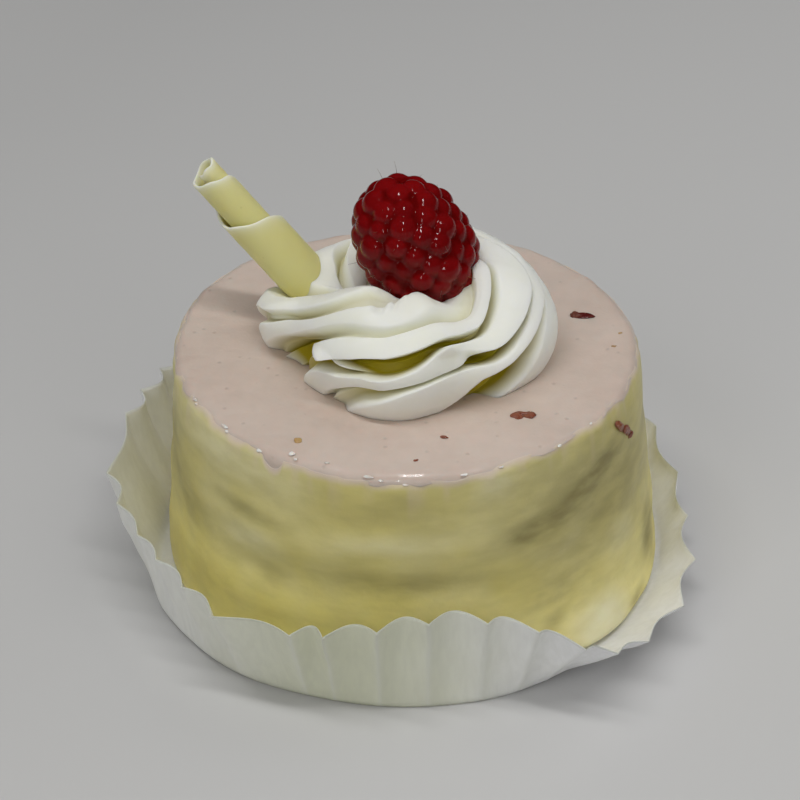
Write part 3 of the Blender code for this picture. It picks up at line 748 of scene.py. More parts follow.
def coated_side(settings):
    """The coated cake: the skin from the coating's edge down to the foot, closed above and below.

    Rows lie closer near the edge. The edge itself rolls in by the lip's thickness as a quarter
    circle, the bands are a little sunk or raised, and soft waves make the rest uneven.
    """
    azimuth = np.arange(CAKE_COLUMNS) * 360.0 / CAKE_COLUMNS
    lip = settings.coat_lip / MM
    start = coat_edge(azimuth, settings.edge_wobble / MM)
    end = RIM_ARC + CAKE_TOP - RIM_ROUNDING - CAKE_FLOOR
    share = np.concatenate([np.linspace(0.0, 0.02, EDGE_ROWS), np.linspace(0.03, 1.0, SIDE_ROWS)])[:, None]
    distance = start + (end - start) * share**1.25
    below = distance - start
    columns = np.broadcast_to(azimuth, distance.shape)
    plain = skin(columns, distance)
    dark_back, pale_back = back_bands()
    dark = band_sum(DARK_AND_SHADE_BANDS + dark_back, columns, plain[..., 2])
    pale = band_sum(PALE_AND_LIT_BANDS + pale_back, columns, plain[..., 2])
    roll = lip * (np.sqrt(1.0 - (1.0 - np.clip(below / lip, 0.0, 1.0)) ** 2) - 1.0)
    fingers = 0.12 * ragged(columns, 9, 20, 60) * hump(below, 5.0)
    uneven = 0.16 * soft_waves(plain * (1.0, 1.0, 2.2), 16.0, 3) + 0.04 * soft_waves(plain, 5.0, 4)
    lift = roll + (fingers + uneven + 0.22 * pale - 0.28 * dark) * smooth_step(below / 1.2)
    grid = skin(columns, distance, lift)
    inner_height = CAKE_TOP - LAYER_DEPTH
    under = ring(TOP_RADIUS - 2.5, azimuth, inner_height, (TOP_SHIFT, 0.0))
    foot, middle = (*FOOT_SHIFT, CAKE_FLOOR), (TOP_SHIFT, 0.0, inner_height)
    points, faces = closed_skin(np.concatenate([grid[::-1], under[None]]), foot, middle)
    streak = np.clip(ragged(columns, 10, 16, 110, 0.2), 0.0, 1.0)
    streak = streak * hump(below, 6.0 + 3.0 * ragged(columns, 11, 4, 30))
    values = {"dark": dark, "pale": pale, "edge": hump(below, 1.5), "streak": streak}
    rest = np.zeros(CAKE_COLUMNS + 2)
    return points, faces, {label: np.append(v[::-1].ravel(), rest) for label, v in values.items()}


def mousse_top(settings):
    """The pink layer: the skin from the middle of the top out, over the rim and just under the coating.

    Rows run from under the coating's edge up the rim and in over the flat top, and soft waves make
    the top and its rim uneven.
    """
    azimuth = np.arange(CAKE_COLUMNS) * 360.0 / CAKE_COLUMNS
    lip = settings.coat_lip / MM
    rim = (coat_edge(azimuth, settings.edge_wobble / MM) + 0.5) * np.linspace(1.0, 0.0, RIM_ROWS)[:, None]
    middle = TOP_RADIUS - RIM_ROUNDING - 1.0
    flat = -np.concatenate([np.linspace(0.3, 16.0, TOP_ROWS), np.linspace(17.0, middle, MIDDLE_ROWS)])
    distance = np.concatenate([rim, np.broadcast_to(flat[:, None], (len(flat), CAKE_COLUMNS))])
    columns = np.broadcast_to(azimuth, distance.shape)
    plain = skin(columns, distance)
    uneven = 0.10 * soft_waves(plain, 11.0, 13) + 0.035 * soft_waves(plain, 3.6, 14)
    rim_wave = 0.12 * ragged(columns, 15, 9, 50) * hump(distance - 0.8, 3.0)
    grid = skin(columns, distance, uneven + rim_wave - lip * 0.75 * smooth_step((distance + 1.0) / 1.6))
    low = (TOP_SHIFT, 0.0, CAKE_TOP - LAYER_DEPTH + 0.1)
    bottom = ring(TOP_RADIUS - 2.0, azimuth, low[2], (TOP_SHIFT, 0.0))
    points, faces = closed_skin(np.concatenate([bottom[None], grid]), low, (TOP_SHIFT, 0.0, CAKE_TOP))
    wet = hump(distance - 1.4, 2.6)
    return points, faces, {"wet": np.concatenate([np.zeros(CAKE_COLUMNS), wet.ravel(), np.zeros(2)])}


def coating_finish(settings):
    """The cream coating: pale and dark bands, with painted shade on its right and painted light on its foot's
    skirt, more yellow towards the foot, with a faint sheen.
    """
    paint = Finish("Cream coating", settings.coat_colour)
    patches = paint.patches(70.0)
    smears = paint.patches(150.0, paint.mapped(Scale=(1.0, 1.0, 2.6)), Detail=4.0, Low=0.3, High=0.7)
    paint.blend(paint.step(paint.axis("Z"), 0.019, 0.012), settings.foot_colour)
    paint.blend(paint.times(patches, 0.25), settings.pale_and_lit_colour)
    # Pale bands: thick coating, and painted light on the foot's skirt at the right. Dark bands: sponge
    # showing through, and painted shade on the side's right.
    paint.blend(paint.times(paint.stored("pale"), paint.spread(smears, 0.65, 1.0)), settings.pale_and_lit_colour)
    paint.blend(paint.times(paint.stored("dark"), paint.spread(smears, 1.0, 0.65)), settings.dark_colour)
    paint.blend(paint.spread(smears, 0.16, 0.0), settings.dark_colour)
    paint.blend(paint.times(paint.stored("streak"), 0.3), settings.edge_colour)
    paint.blend(paint.times(paint.stored("edge"), 0.9), settings.edge_colour)
    paint.emboss(paint.use("Fine Relief", Scale=260.0, Fine_Share=0.25), 0.12)
    roughness = paint.spread(patches, 0.36, 0.5)
    return paint.close(0.3, (1.0, 0.8, 0.35), 1.4, Roughness=roughness, Specular_IOR_Level=0.3)


def mousse_finish(settings):
    """The pink mousse: softly mottled, with fine pores painted darker as shade, and wet along the rim."""
    pink = settings.mousse_colour
    paint = Finish("Pink mousse", pink)
    pores = paint.use("Scattered Specks", Scale=650.0, Radius=0.32, Share=0.16)
    paint.blend(paint.spread(paint.patches(55.0), 0.0, 0.5), toned(pink, (0.90, 0.86, 0.84)))
    paint.blend(paint.spread(paint.patches(420.0, Low=0.3, High=0.7), 0.0, 0.25), toned(pink, 1.12))
    # The pores are painted darker, as shade in the small pits.
    paint.blend(paint.times(pores, 0.35), toned(pink, 0.55))
    fine = paint.use("Fine Relief", Scale=420.0, Fine_Share=0.3)
    paint.emboss(reckon(paint.tree, "SUBTRACT", fine, paint.times(pores, 0.8)), 0.10)
    wet = paint.stored("wet")
    return paint.close(
        0.35, (1.0, 0.55, 0.45), 1.4, Roughness=paint.spread(wet, 0.52, 0.28), Specular_IOR_Level=0.3,
        Coat_Weight=paint.times(wet, 0.2), Coat_Roughness=0.08
    )


# The fruit pieces and the wet drops on the mousse

def pebble(place, size, slant, turn, seed):
    """A lumpy pebble: a ball pressed to its size, its radius varied by soft waves.

    It is slanted about its own X axis, turned about the vertical and placed.
    """
    points, faces = ball(PEBBLE_ROWS, PEBBLE_COLUMNS)
    points = points * (1.0 + 0.22 * soft_waves(points, 1.5, seed, 8)[:, None])
    points = points * (np.array(size) / 2)
    spin = Matrix.Rotation(math.radians(turn), 3, "Z") @ Matrix.Rotation(math.radians(slant), 3, "X")
    return points @ np.array(spin).T + np.array(place), faces


def fruit_pieces():
    """All the fruit pieces as one shape: those on the top, and those that show at the side."""
    parts = [pebble(*entry) for _, *entry in FRUIT]
    for _, azimuth, height, size, slant, seed in SIDE_FRUIT:
        place = skin(np.array(azimuth), np.array(RIM_ARC + CAKE_TOP - RIM_ROUNDING - height))
        parts.append(pebble(place, size, slant, azimuth, seed))
    points, faces = join_parts(parts)
    tones = [entry[0] for entry in FRUIT + SIDE_FRUIT]
    return points, faces, {"tone": np.repeat(tones, len(points) // len(tones))}


def rim_drops():
    """The wet drops: flat balls half sunk in the rim."""
    parts = []
    for seed, (azimuth, distance, length, breadth) in enumerate(RIM_DROPS, FIRST_DROP_SEED):
        place = skin(np.array(azimuth), np.array(distance), 0.1)
        parts.append(pebble(place, (breadth, length, 0.6 * breadth), 0.0, azimuth, seed))
    return *join_parts(parts), {}


def fruit_finish(settings):
    """Fruit flesh and seeds: from dark through brown to yellow by tone, wet and a little uneven."""
    paint = Finish("Fruit pieces", settings.dark_colour)
    tone = paint.stored("tone")
    patches = paint.patches(900.0)
    paint.blend(paint.step(tone, 0.0, 0.5), settings.brown_colour)
    paint.blend(paint.step(tone, 0.6, 1.0), settings.seed_colour)
    paint.blend(paint.spread(patches, 0.0, 0.4), (0.30, 0.12, 0.07))
    paint.emboss(paint.use("Fine Relief", Scale=1200.0), 0.08)
    return paint.close(0.15, (1.0, 0.3, 0.2), 0.5, Roughness=paint.spread(patches, 0.18, 0.4))


def drop_finish(settings):
    """Syrup drops on the mousse: the mousse's colour turned milky white in patches, as painted glints, under
    a clear wet gloss.
    """
    paint = Finish("Wet drops", settings.mousse_colour)
    patches = paint.patches(900.0)
    # The milky white patches are painted glints on the small drops.
    paint.blend(paint.spread(patches, 0.3, 0.9), (0.96, 0.94, 0.90))
    return paint.close(0.3, (1.0, 0.6, 0.5), 0.5, Roughness=paint.spread(patches, 0.05, 0.12), IOR=1.6)


# The cream rosette

def groove_line(points, share):
    """A groove's azimuth and tilt at each share of its length, through its few points."""
    points = np.array(points, dtype=float)
    steps = np.hypot(0.5 * np.diff(points[:, 0]), np.diff(points[:, 1]))
    along = np.concatenate([[0.0], np.cumsum(steps)]) / steps.sum()
    return curve(along, points[:, 0], share)[:, None], curve(along, points[:, 1], share)[:, None]


def ring_point(azimuth, tilt, lift):
    """A point on the cream ring: an ellipse in section, by its tilt, moved out by a lift."""
    slope = np.radians(tilt)
    half_width = np.where(tilt < 90.0, around(CREAM_OUTLINE, azimuth) - CREST_RADIUS, INNER_HALF_WIDTH)
    radius = CREST_RADIUS + (half_width + lift) * np.cos(slope)
    lower = CREAM_AXIS_RISE * (1.0 - np.sin(slope) / math.sin(math.radians(LIP_ANGLE)))
    upper = CREAM_AXIS_RISE + (around(CREAM_CREST, azimuth) - CREAM_AXIS_RISE + lift) * np.sin(slope)
    return ring(radius, azimuth, CAKE_TOP + np.where(tilt < 0.0, lower, upper))


def ridge_strip(number, share):
    """One ridge between two grooves: azimuth, tilt, lift and groove depth, over share along and across.

    Azimuth and tilt run straight across from the upper groove to the lower one. The lift falls
    off into both grooves and leans the face, and a few spots dent or raise it. The lower edge
    hangs over the groove below it, and one ridge has a torn upper edge.
    """
    upper = number - 1
    across = (np.arange(COLUMNS_PER_RIDGE) / COLUMNS_PER_RIDGE)[None, :]
    turn = -360.0 if upper < 0 else 0.0
    azimuth_up, tilt_up = groove_line(GROOVES[upper], share)
    azimuth_low, tilt_low = groove_line(GROOVES[number], share)
    azimuth = (azimuth_up + turn) * (1 - across) + azimuth_low * across
    tilt = tilt_up * (1 - across) + tilt_low * across
    flat_up, slope_up, flat_low, slope_low, lean, hang = (
        between([(row[0], row[k]) for row in RIDGES[number]], azimuth) for k in range(1, 7)
    )
    calm = 1.0 - 0.5 * smooth_step((tilt - 90.0) / 60.0)
    dip_up = between(GROOVE_DEPTH[upper], azimuth - turn) * plateau(across, flat_up, slope_up)
    dip_low = between(GROOVE_DEPTH[number], azimuth) * plateau(1.0 - across, flat_low, slope_low)
    dip = np.maximum(dip_up, dip_low) * calm
    lift = lean * (2.0 * across - 1.0) * calm - dip
    for ridge, middle, level, half_turn, half_tilt, height in CREAM_SPOTS:
        if ridge == number:
            swell = height * hump(azimuth - middle, half_turn) * hump(tilt - level, half_tilt)
            lift = lift + swell
            dip = dip - swell
    if number == TORN_RIDGE:
        torn = np.tanh(2.0 * ragged(azimuth, 55, 24, 90)) * hump(azimuth - TORN_AZIMUTH, 22.0)
        lift = lift + 0.4 * torn * hump(across - 0.12, 0.14)
    edge = 1.0 - flat_low - slope_low
    fade = smooth_step((tilt - LIP_ANGLE) / 20.0) * smooth_step((NEST_ANGLE - tilt) / 30.0)
    hanging = hang * smooth_step((across - edge + 0.35) / 0.35) * plateau(across, edge, slope_low)
    return azimuth, tilt - hanging * fade, lift, np.clip(dip / 3.0, 0.0, 1.0)


def rosette(settings):
    """The piped cream: one strip for each ridge, side by side round the ring, from foot to nest."""
    share = np.linspace(0.0, 1.0, CREAM_ROWS)
    strips = [ridge_strip(number, share) for number in range(len(GROOVES))]
    azimuth, tilt, lift, groove = (np.concatenate(part, axis=1) for part in zip(*strips))
    grid = ring_point(azimuth, tilt, lift * settings.ridge_depth)
    uneven = 0.12 * soft_waves(grid, 7.0, 51) + 0.03 * soft_waves(grid, 2.4, 52)
    grid = grid + uneven[..., None] * np.array((0.4, 0.4, 1.0))
    grid[..., 2] = np.maximum(grid[..., 2], CAKE_TOP)
    points, faces = closed_skin(grid, (0.0, 0.0, CAKE_TOP), (0.0, 0.0, CAKE_TOP + NEST_RISE))
    return points, faces, {"groove": np.append(groove.ravel(), np.zeros(2))}


def cream_finish(settings):
    """Whipped cream: nearly white, with painted yellow shade deep in the grooves, and a fine dull grain."""
    paint = Finish("Whipped cream", settings.colour)
    patches = paint.patches(140.0)
    paint.blend(paint.spread(patches, 0.0, 0.4), toned(settings.colour, (0.97, 0.97, 0.9)))
    # Painted shade: the cream darkens towards a yellow shade with the groove's depth.
    paint.blend(reckon(paint.tree, "POWER", paint.stored("groove"), 1.6), settings.groove_shade_colour)
    paint.emboss(paint.use("Fine Relief", Scale=500.0, Fine_Share=0.4), 0.06)
    roughness = paint.spread(patches, 0.42, 0.55)
    return paint.close(0.7, (1.0, 0.97, 0.85), 2.0, Roughness=roughness, Specular_IOR_Level=0.25)


# The raspberry

def berry_profile(share):
    """The berry's core radius along its length, from its base to its tip."""
    above = np.clip((share - BERRY_WAIST) / (1.0 - BERRY_WAIST), 0.0, 1.0)
    below = np.clip((BERRY_WAIST - share) / BERRY_WAIST, 0.0, 1.0)
    return BERRY_CORE_RADIUS * (1.0 - above**2.4) ** 0.5 * (1.0 - 0.42 * below**2.0)


def drupelet_places():
    """The middle of each drupelet and the way it faces, along a spiral of golden turns.

    The skin's area runs up from the base, each drupelet takes an equal part of it, and each
    lies a golden turn on from the last.
    """
    shares = np.linspace(0.0, 1.0, 600)
    radius = berry_profile(shares)
    strip = np.hypot(np.diff(radius), np.diff(shares) * BERRY_LENGTH) * (radius[1:] + radius[:-1]) * math.pi
    area = np.concatenate([[0.0], np.cumsum(strip)])
    count = int(area[-1] / (PACKED_AREA * DRUPELET_SPACING**2))
    number = np.arange(count)
    share = np.interp((number + 0.5) / count * area[-1], area, shares)
    slope = (berry_profile(share + 0.004) - berry_profile(share - 0.004)) / (0.008 * BERRY_LENGTH)
    azimuth = number * GOLDEN_TURN
    facing = ring(1.0, azimuth, -slope) / np.hypot(1.0, slope)[:, None]
    return ring(berry_profile(share), azimuth, share * BERRY_LENGTH), facing


def on_berry(points):
    """Points given along the berry's own axis, leaned and set on the cream."""
    return points @ np.array(Matrix.Rotation(math.radians(-BERRY_LEAN), 3, "Y")).T + np.array(BERRY_BASE)


def raspberry(settings):
    """The berry as one skin: the ways out from its middle meet the balls of its drupelets.

    A way's length is the soft largest of those meeting points and of the core under them, which is
    the logarithm of the sum of e to the power k times each, over k, so the balls flow together.
    """
    rng = np.random.default_rng(61)
    middles, facing = drupelet_places()
    radius = settings.drupelet_radius / MM * rng.uniform(0.98, 1.02, len(middles))
    stray = rng.normal(0.0, 0.16, middles.shape)
    middles = middles + stray + facing * rng.uniform(-1.05, -0.9, (len(middles), 1))
    heart = np.array((0.0, 0.0, BERRY_LENGTH * BERRY_HEART))
    ways, faces = ball(BERRY_ROWS, BERRY_COLUMNS)
    shares = np.linspace(0.0, 1.0, 400)
    rise = shares * BERRY_LENGTH - heart[2]
    out = berry_profile(shares)
    core = np.interp(np.arcsin(ways[:, 2]), np.arctan2(rise, out), np.hypot(rise, out))
    along = ways @ (middles - heart).T
    inside = along**2 - ((middles - heart) ** 2).sum(axis=1) + radius**2
    far = np.where(inside > 0.0, along + np.sqrt(np.maximum(inside, 0.0)), 0.0)
    far = np.concatenate([far, core[:, None]], axis=1)
    length = np.log(np.exp(DRUPELET_BLEND * (far - core[:, None])).sum(axis=1)) / DRUPELET_BLEND
    points = heart + ways * (core + length)[:, None]
    return on_berry(points), faces, {"outer": smooth_step((length - 0.7) / 0.5)}


def berry_hairs(settings):
    """The dry hairs: thin tapered tubes that leave drupelets at random and bend to one side.

    A hair's middle line is its root plus its way times t plus its bend times t squared. The root
    lies half a drupelet's radius out, inside the drupelet.
    """
    rng = np.random.default_rng(71)
    middles, facing = drupelet_places()
    chosen = rng.choice(len(middles), HAIRS, replace=False)
    root = middles[chosen] + facing[chosen] * settings.drupelet_radius / MM * 0.5
    way = facing[chosen] + rng.normal(0.0, 0.35, (HAIRS, 3))
    bend = rng.normal(0.0, 0.35, (HAIRS, 3))
    length = rng.uniform(0.6, 1.3, (HAIRS, 1))
    t = np.linspace(0.0, 1.0, HAIR_STEPS)[:, None, None]
    lines = np.swapaxes(root + way * length * t + bend * t**2, 0, 1)
    side = np.cross(way, (0.2, 0.5, 0.8))
    side /= np.linalg.norm(side, axis=1)[:, None]
    other = np.cross(side, way / np.linalg.norm(way, axis=1)[:, None])
    turn = np.radians(np.arange(HAIR_SIDES) * 360.0 / HAIR_SIDES)[:, None]
    taper = HAIR_RADIUS * (1.0 - 0.6 * t)
    parts = []
    for line, across, over in zip(lines, side, other):
        circle = np.cos(turn) * across + np.sin(turn) * over
        parts.append(closed_skin(line[:, None] + circle * taper, line[0], line[-1]))
    points, faces = join_parts(parts)
    return on_berry(points), faces, {}


def berry_finish(settings):
    """Raspberry flesh: deep red, with painted shade between the drupelets, and a thin wet gloss."""
    paint = Finish("Raspberry flesh", settings.colour)
    paint.blend(paint.spread(paint.patches(200.0), 0.0, 0.45), toned(settings.colour, 0.55))
    outer = paint.step(paint.stored("outer"), 0.1, 0.9)
    # Painted shade: the flesh darkens between the drupelets.
    paint.colour = paint.mixed(outer, settings.crease_shade_colour, paint.colour)
    paint.emboss(paint.use("Fine Relief", Scale=700.0, Fine_Share=0.2), 0.04)
    roughness = paint.spread(paint.patches(1500.0, Low=0.5, High=0.8), 0.08, 0.15)
    return paint.close(0.3, (1.0, 0.05, 0.03), 1.5, Roughness=roughness, Specular_IOR_Level=0.15)


def hair_finish(settings):
    """Dry berry hairs: brown, lighter in places."""
    paint = Finish("Berry hairs", settings.hair_colour)
    patches = paint.patches(1200.0)
    paint.blend(patches, toned(settings.hair_colour, 2.2))
    return paint.close(Roughness=paint.spread(patches, 0.5, 0.7))


# The chocolate curl

def chocolate_curl(settings):
    """The rolled sheet: outer face, rounded rims and inner face as one closed strip round the roll.

    By the angle round the roll come the sheet's radius and its far edge. Across the sheet the
    section is a long oval of the sheet's thickness, so both rims are round.
    """
    angle, radii, edge = np.array(CURL_TURNS).T
    turned = np.arange(angle[0], angle[-1] + CURL_STEP / 2, CURL_STEP)[:, None]
    radius = curve(angle, radii, turned)
    far = curve(angle, edge, turned) + 0.12 * np.sin(np.radians(turned * 4.3))
    half = settings.thickness / MM / 2
    cap = np.radians(np.linspace(90.0, -90.0, CURL_CAP_STEPS))
    out = CURL_START + np.linspace(0.0, 1.0, CURL_ROWS) * (far - half - CURL_START)
    height = np.concatenate([out, (far - half + half * np.cos(cap))[:, 1:-1], out[:, ::-1]], axis=1)
    lift = np.concatenate([np.full(CURL_ROWS, half), half * np.sin(cap)[1:-1], np.full(CURL_ROWS, -half)])
    azimuth = np.broadcast_to(90.0 - turned, height.shape)
    thin = smooth_step((turned - turned[0]) / 12.0) * smooth_step((turned[-1] - turned) / 12.0)
    ripple = 0.015 * np.sin(height * 1.7 + np.radians(turned * 3.0))
    grid = ring(radius - half + lift * (0.35 + 0.65 * thin) + ripple, azimuth, height)
    rows, columns = grid.shape[:2]
    first = np.arange(columns)
    ends = [first.tolist(), (first + (rows - 1) * columns)[::-1].tolist()]
    place = np.array(Vector(CURL_DIRECTION).to_track_quat("Z", "Y").to_matrix())
    points = grid.reshape(-1, 3) @ place.T + np.array(CURL_FOOT)
    return points, grid_quads(rows, columns) + ends, {"rim": np.exp(-np.maximum(far - height, 0.0) / 0.8)}


def chocolate_finish(settings):
    """White chocolate: pale yellow and waxy, whitish along its broken rims."""
    cocoa = settings.colour
    paint = Finish("White chocolate", cocoa)
    patches = paint.patches(160.0)
    grains = paint.use("Scattered Specks", Scale=900.0, Radius=0.25, Share=0.05)
    paint.blend(paint.spread(patches, 0.0, 0.35), toned(cocoa, (0.96, 0.93, 0.75)))
    paint.blend(paint.times(grains, 0.3), toned(cocoa, 0.6))
    paint.blend(paint.stored("rim"), settings.edge_colour)
    paint.emboss(paint.use("Fine Relief", Scale=350.0, Fine_Share=0.25), 0.05)
    roughness = paint.spread(patches, 0.38, 0.5)
    return paint.close(0.35, (1.0, 0.85, 0.3), 1.0, Roughness=roughness, Specular_IOR_Level=0.25)


# The paper case

def fold_azimuths():
    """The azimuth of each outward fold of the paper, once round."""
    shown = LEFT_FOLDS + FRONT_FOLDS + RIGHT_FOLDS
    back = np.linspace(shown[-1], shown[0] + 360.0, BACK_FOLDS + 1)[1:-1]
    return np.concatenate([shown, back])


def paper_case():
    """The case: a flat floor and a leaning wall with folds, sharp outwards and round inwards.

    Between two folds the wall comes in by the fold's depth times a half sine, more and more
    towards its edge. Its foot draws in under the cake, by a power of the height left. Each point
    holds how near it is to a fold, how far up the wall, how lit and free of grease the paper is
    painted, and how far turned from the light for painted shade.
    """
    folds = fold_azimuths()
    along = np.arange(COLUMNS_PER_FOLD) / COLUMNS_PER_FOLD
    azimuth = (folds[:, None] + np.diff(np.append(folds, folds[0] + 360.0))[:, None] * along).ravel()
    inwards = np.tile(np.sin(np.pi * along), len(folds))
    turn = np.radians(azimuth)
    base = CASE_RADIUS + CASE_SHIFT[0] * np.cos(turn) + CASE_SHIFT[1] * np.sin(turn)
    lean = around(RIM_REACH, azimuth) - base - inwards * around(FOLD_DEPTH, azimuth)
    tuck = around(FOOT_TUCK, azimuth)
    share = np.linspace(0.0, 1.0, WALL_ROWS)[:, None]
    bow = 0.35 * np.sin(np.pi * share) * ragged(azimuth, 81, 3, 24)
    radius = base + lean * share + bow - tuck * np.maximum(1.0 - share / TUCK_SHARE, 0.0) ** 1.6
    rounding = hump(share, 0.06) * FLOOR_ROUNDING * 0.5
    height = around(RIM_HEIGHT, azimuth) * share
    wall = ring(radius - rounding, np.broadcast_to(azimuth, radius.shape), height)
    wall = wall + 0.12 * soft_waves(wall, 9.0, 82)[..., None] * share[..., None] * np.array((1.0, 1.0, 0.3))
    floor_radius = (base - tuck - FLOOR_ROUNDING) * np.array(FLOOR_SHARES)[:, None]
    floor = ring(floor_radius, np.broadcast_to(azimuth, floor_radius.shape), 0.0)
    grid = np.concatenate([floor, wall])
    rows, columns = grid.shape[:2]
    points = np.concatenate([grid.reshape(-1, 3), [(*CASE_SHIFT, 0.0)]])
    c = np.arange(columns)
    fan = np.stack([(c + 1) % columns, c, np.full(columns, rows * columns)], axis=-1)
    turned = np.tile((1.0 - along) ** 1.3, len(folds))
    values = {
        "crease": (1.0 - inwards) ** 6,
        "up": share,
        "turned": turned * hump(past(azimuth, TURNED_FOLDS[0]), TURNED_FOLDS[1]),
    }
    flat = np.zeros(floor_radius.shape)
    values = {label: np.concatenate([flat, np.broadcast_to(v, radius.shape)]) for label, v in values.items()}
    # Painted light and shade: the paper is whiter away from the front and left, and darker and yellower
    # there, close to the cake.
    lit_and_clean = 1.0 - hump(past(azimuth, FRONT_PAINTED_SHADE[0]), FRONT_PAINTED_SHADE[1])
    lit_and_clean = lit_and_clean - 0.4 * hump(past(azimuth, LEFT_PAINTED_SHADE[0]), LEFT_PAINTED_SHADE[1])
    values["lit_and_clean"] = np.broadcast_to(lit_and_clean, (rows, columns))
    values = {label: np.append(v.ravel(), 0.0) for label, v in values.items()}
    return points, grid_quads(rows, columns) + fan.tolist(), values


def paper_finish(settings):
    """Greaseproof paper: pale and slightly see-through, with fibres, creases and greasy patches, and painted
    light and shade.
    """
    paint = Finish("Greaseproof paper", settings.colour)
    long_way = paint.mapped(Scale=(1.0, 1.0, 0.25))
    fibres = paint.patches(900.0, long_way, Detail=3.0, Low=0.3, High=0.7)
    up = paint.stored("up")
    lit_and_clean = paint.stored("lit_and_clean")
    greasy = paint.times(paint.patches(45.0, Low=0.45, High=0.62), paint.step(up, 0.75, 0.2))
    # The paper is painted whiter where it is lit and free of grease.
    paint.blend(lit_and_clean, settings.lit_clean_colour)
    # The fold sides turned from the light are painted darker, as shade.
    paint.blend(paint.times(paint.stored("turned"), 0.36), (0.53, 0.54, 0.42))
    paint.blend(paint.spread(fibres, 0.0, 0.1), (0.40, 0.40, 0.36))
    paint.blend(paint.times(greasy, paint.spread(lit_and_clean, 0.4, 0.1)), settings.grease_colour)
    paint.blend(paint.times(paint.stored("crease"), 0.3), (0.88, 0.89, 0.86))
    # The top of the wall, at its rim, is painted darker as shade against the light that falls on it.
    paint.blend(paint.times(paint.step(up, 0.965, 1.0), 0.6), (0.45, 0.46, 0.38))
    paint.emboss(paint.use("Fine Relief", long_way, Scale=700.0, Fine_Share=0.4), 0.05)
    return paint.close(0.5, (1.0, 1.0, 0.95), 0.3, Roughness=paint.spread(greasy, 0.62, 0.38))


# One operator for each piece

class CAKE_OT_case(bpy.types.Operator):
    """Make the fluted paper case"""

    bl_idname = "cake.case"
    bl_label = "Paper Case"

    def execute(self, context):
        settings = context.scene.cake_case
        piece = make_piece("fluted_case", paper_case(), paper_finish(settings), "paper", "paper_case")
        sheet = piece.modifiers.new("Sheet", "SOLIDIFY")
        sheet.thickness = settings.thickness
        sheet.offset = -1.0
        return {"FINISHED"}


class CAKE_OT_coating(bpy.types.Operator):
    """Make the coated side of the cake"""

    bl_idname = "cake.coating"
    bl_label = "Coated Cake"

    def execute(self, context):
        settings = context.scene.cake_body
        shape, finish = coated_side(settings), coating_finish(settings)
        make_piece("coated_cake", shape, finish, "cream_coating", "cake_body")
        return {"FINISHED"}


class CAKE_OT_mousse(bpy.types.Operator):
    """Make the pink mousse on top and the wet drops along its rim"""

    bl_idname = "cake.mousse"
    bl_label = "Pink Mousse"

    def execute(self, context):
        settings = context.scene.cake_body
        make_piece("mousse_top", mousse_top(settings), mousse_finish(settings), "pink_mousse", "pink_layer")
        make_piece("rim_drops", rim_drops(), drop_finish(settings), "pink_mousse")
        return {"FINISHED"}


class CAKE_OT_fruit(bpy.types.Operator):
    """Make the small fruit pieces and seeds in the mousse"""

    bl_idname = "cake.fruit"
    bl_label = "Fruit Pieces"

    def execute(self, context):
        make_piece("fruit_pieces", fruit_pieces(), fruit_finish(context.scene.cake_fruit), "raspberry_flesh")
        return {"FINISHED"}


class CAKE_OT_rosette(bpy.types.Operator):
    """Make the piped cream rosette"""

    bl_idname = "cake.rosette"
    bl_label = "Cream Rosette"

    def execute(self, context):
        settings = context.scene.cake_cream
        shape, finish = rosette(settings), cream_finish(settings)
        make_piece("piped_rosette", shape, finish, "whipped_cream", "cream_rosette")
        return {"FINISHED"}


class CAKE_OT_raspberry(bpy.types.Operator):
    """Make the raspberry and its hairs"""

    bl_idname = "cake.raspberry"
    bl_label = "Raspberry"

    def execute(self, context):
        settings = context.scene.cake_berry
        make_piece("berry", raspberry(settings), berry_finish(settings), "raspberry_flesh", "raspberry")
        make_piece("berry_hairs", berry_hairs(settings), hair_finish(settings), "raspberry_flesh")
        return {"FINISHED"}


class CAKE_OT_curl(bpy.types.Operator):
    """Make the white chocolate curl"""

    bl_idname = "cake.curl"
    bl_label = "Chocolate Curl"

    def execute(self, context):
        settings = context.scene.cake_curl
        shape, finish = chocolate_curl(settings), chocolate_finish(settings)
        make_piece("rolled_chocolate", shape, finish, "white_chocolate", "chocolate_curl")
        return {"FINISHED"}


# The floor, the lights and the camera

def floor_finish(settings):
    """A plain pale floor, faintly uneven, painted a little darker towards the back and the left as shade."""
    pale = settings.floor_colour
    paint = Finish("Pale floor", toned(pale, 0.91))
    # Painted light: the floor is lighter towards the front and the right, and darker towards the back and the
    # left.
    nearer = paint.axis("X", paint.mapped(Rotation=(0.0, 0.0, math.radians(25.0))))
    paint.blend(paint.step(nearer, -0.15, 0.1), toned(pale, 1.09))
    paint.blend(paint.times(paint.patches(5.0), 0.3), pale)
    return paint.close(Roughness=0.8)


def add_lamp(name, place, size, power, shiny):
    """A soft oblong lamp that looks at the cake. A shiny one only gleams on it, another only lights it."""
    lamp = bpy.data.lights.new(name, "AREA")
    lamp.shape = "RECTANGLE"
    lamp.size, lamp.size_y = size
    lamp.energy = power
    thing = bpy.data.objects.new(name, lamp)
    thing.visible_diffuse = not shiny
    thing.visible_glossy = shiny
    thing.location = place
    thing.rotation_euler = (Vector(LAMP_TARGET) - Vector(place)).to_track_quat("-Z", "Y").to_euler()
    bpy.context.scene.collection.objects.link(thing)


def add_camera():
    """The camera at the view's place, turned by its right and up directions."""
    lens = bpy.data.cameras.new("Camera")
    lens.lens = CAMERA_LENS
    lens.clip_start = 0.01
    camera = bpy.data.objects.new("Camera", lens)
    right = Vector(CAMERA_RIGHT)
    up = Vector(CAMERA_UP)
    turn = Matrix((right, up, right.cross(up))).transposed().to_4x4()
    camera.matrix_world = Matrix.Translation(Vector(CAMERA_PLACE) * MM) @ turn
    bpy.context.scene.collection.objects.link(camera)
    bpy.context.scene.camera = camera


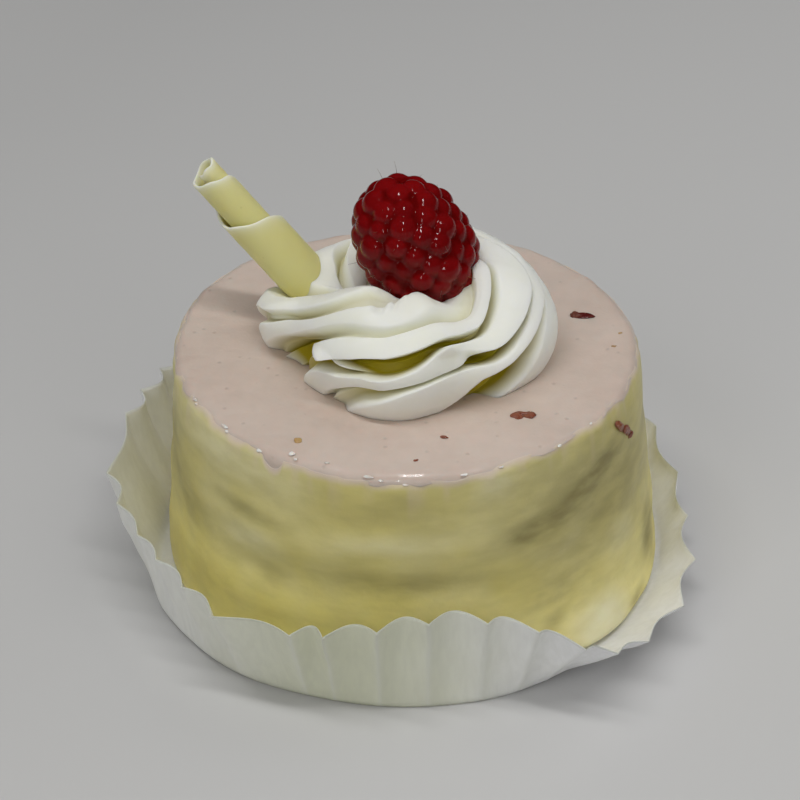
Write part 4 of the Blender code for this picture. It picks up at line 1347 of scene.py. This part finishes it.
class CAKE_OT_stage(bpy.types.Operator):
    """Make the floor, the lights and the camera"""

    bl_idname = "cake.stage"
    bl_label = "Floor, Lights and Camera"

    def execute(self, context):
        settings = context.scene.cake_stage
        half = settings.floor_size / 2
        corners = ((-half, -half), (half, -half), (half, half), (-half, half))
        mesh = bpy.data.meshes.new("floor")
        mesh.from_pydata([(x, y, FLOOR_HEIGHT * MM) for x, y in corners], [], [(0, 1, 2, 3)])
        mesh.materials.append(floor_finish(settings))
        floor = bpy.data.objects.new("floor", mesh)
        context.scene.collection.objects.link(floor)
        for name, place, size, power, share in LAMPS:
            add_lamp(name, place, size, share * getattr(settings, power), power == "sparkle_power")
        world = bpy.data.worlds.new("Soft surround")
        world.use_nodes = True
        back = world.node_tree.nodes["Background"]
        back.inputs["Color"].default_value = SKY_COLOUR
        back.inputs["Strength"].default_value = settings.sky
        world.cycles_visibility.glossy = False
        context.scene.world = world
        context.scene.view_settings.view_transform = "Standard"
        add_camera()
        return {"FINISHED"}


class CAKE_PT_sidebar(bpy.types.Panel):
    """The list of pieces in the sidebar"""

    bl_idname = "CAKE_PT_sidebar"
    bl_label = "Charlotte Cake"
    bl_space_type = "VIEW_3D"
    bl_region_type = "UI"
    bl_category = "Cake"

    def draw(self, context):
        for operator, setting in PIECES:
            box = self.layout.box()
            box.operator(operator.bl_idname)
            settings = getattr(context.scene, setting)
            for label in settings.__annotations__:
                box.prop(settings, label)


SETTINGS = {
    "cake_case": CaseSettings,
    "cake_body": CakeSettings,
    "cake_fruit": FruitSettings,
    "cake_cream": CreamSettings,
    "cake_berry": BerrySettings,
    "cake_curl": CurlSettings,
    "cake_stage": StageSettings,
}
PIECES = (
    (CAKE_OT_case, "cake_case"),
    (CAKE_OT_coating, "cake_body"),
    (CAKE_OT_mousse, "cake_body"),
    (CAKE_OT_fruit, "cake_fruit"),
    (CAKE_OT_rosette, "cake_cream"),
    (CAKE_OT_raspberry, "cake_berry"),
    (CAKE_OT_curl, "cake_curl"),
    (CAKE_OT_stage, "cake_stage"),
)


def register():
    for label, group in SETTINGS.items():
        bpy.utils.register_class(group)
        setattr(bpy.types.Scene, label, bpy.props.PointerProperty(type=group))
    for operator, _ in PIECES:
        bpy.utils.register_class(operator)
    bpy.utils.register_class(CAKE_PT_sidebar)


def unregister():
    bpy.utils.unregister_class(CAKE_PT_sidebar)
    for operator, _ in reversed(PIECES):
        bpy.utils.unregister_class(operator)
    for label, group in SETTINGS.items():
        delattr(bpy.types.Scene, label)
        bpy.utils.unregister_class(group)


def main():
    register()
    bpy.ops.cake.case()
    bpy.ops.cake.coating()
    bpy.ops.cake.mousse()
    bpy.ops.cake.fruit()
    bpy.ops.cake.rosette()
    bpy.ops.cake.raspberry()
    bpy.ops.cake.curl()
    bpy.ops.cake.stage()


if __name__ == "__main__":
    main()
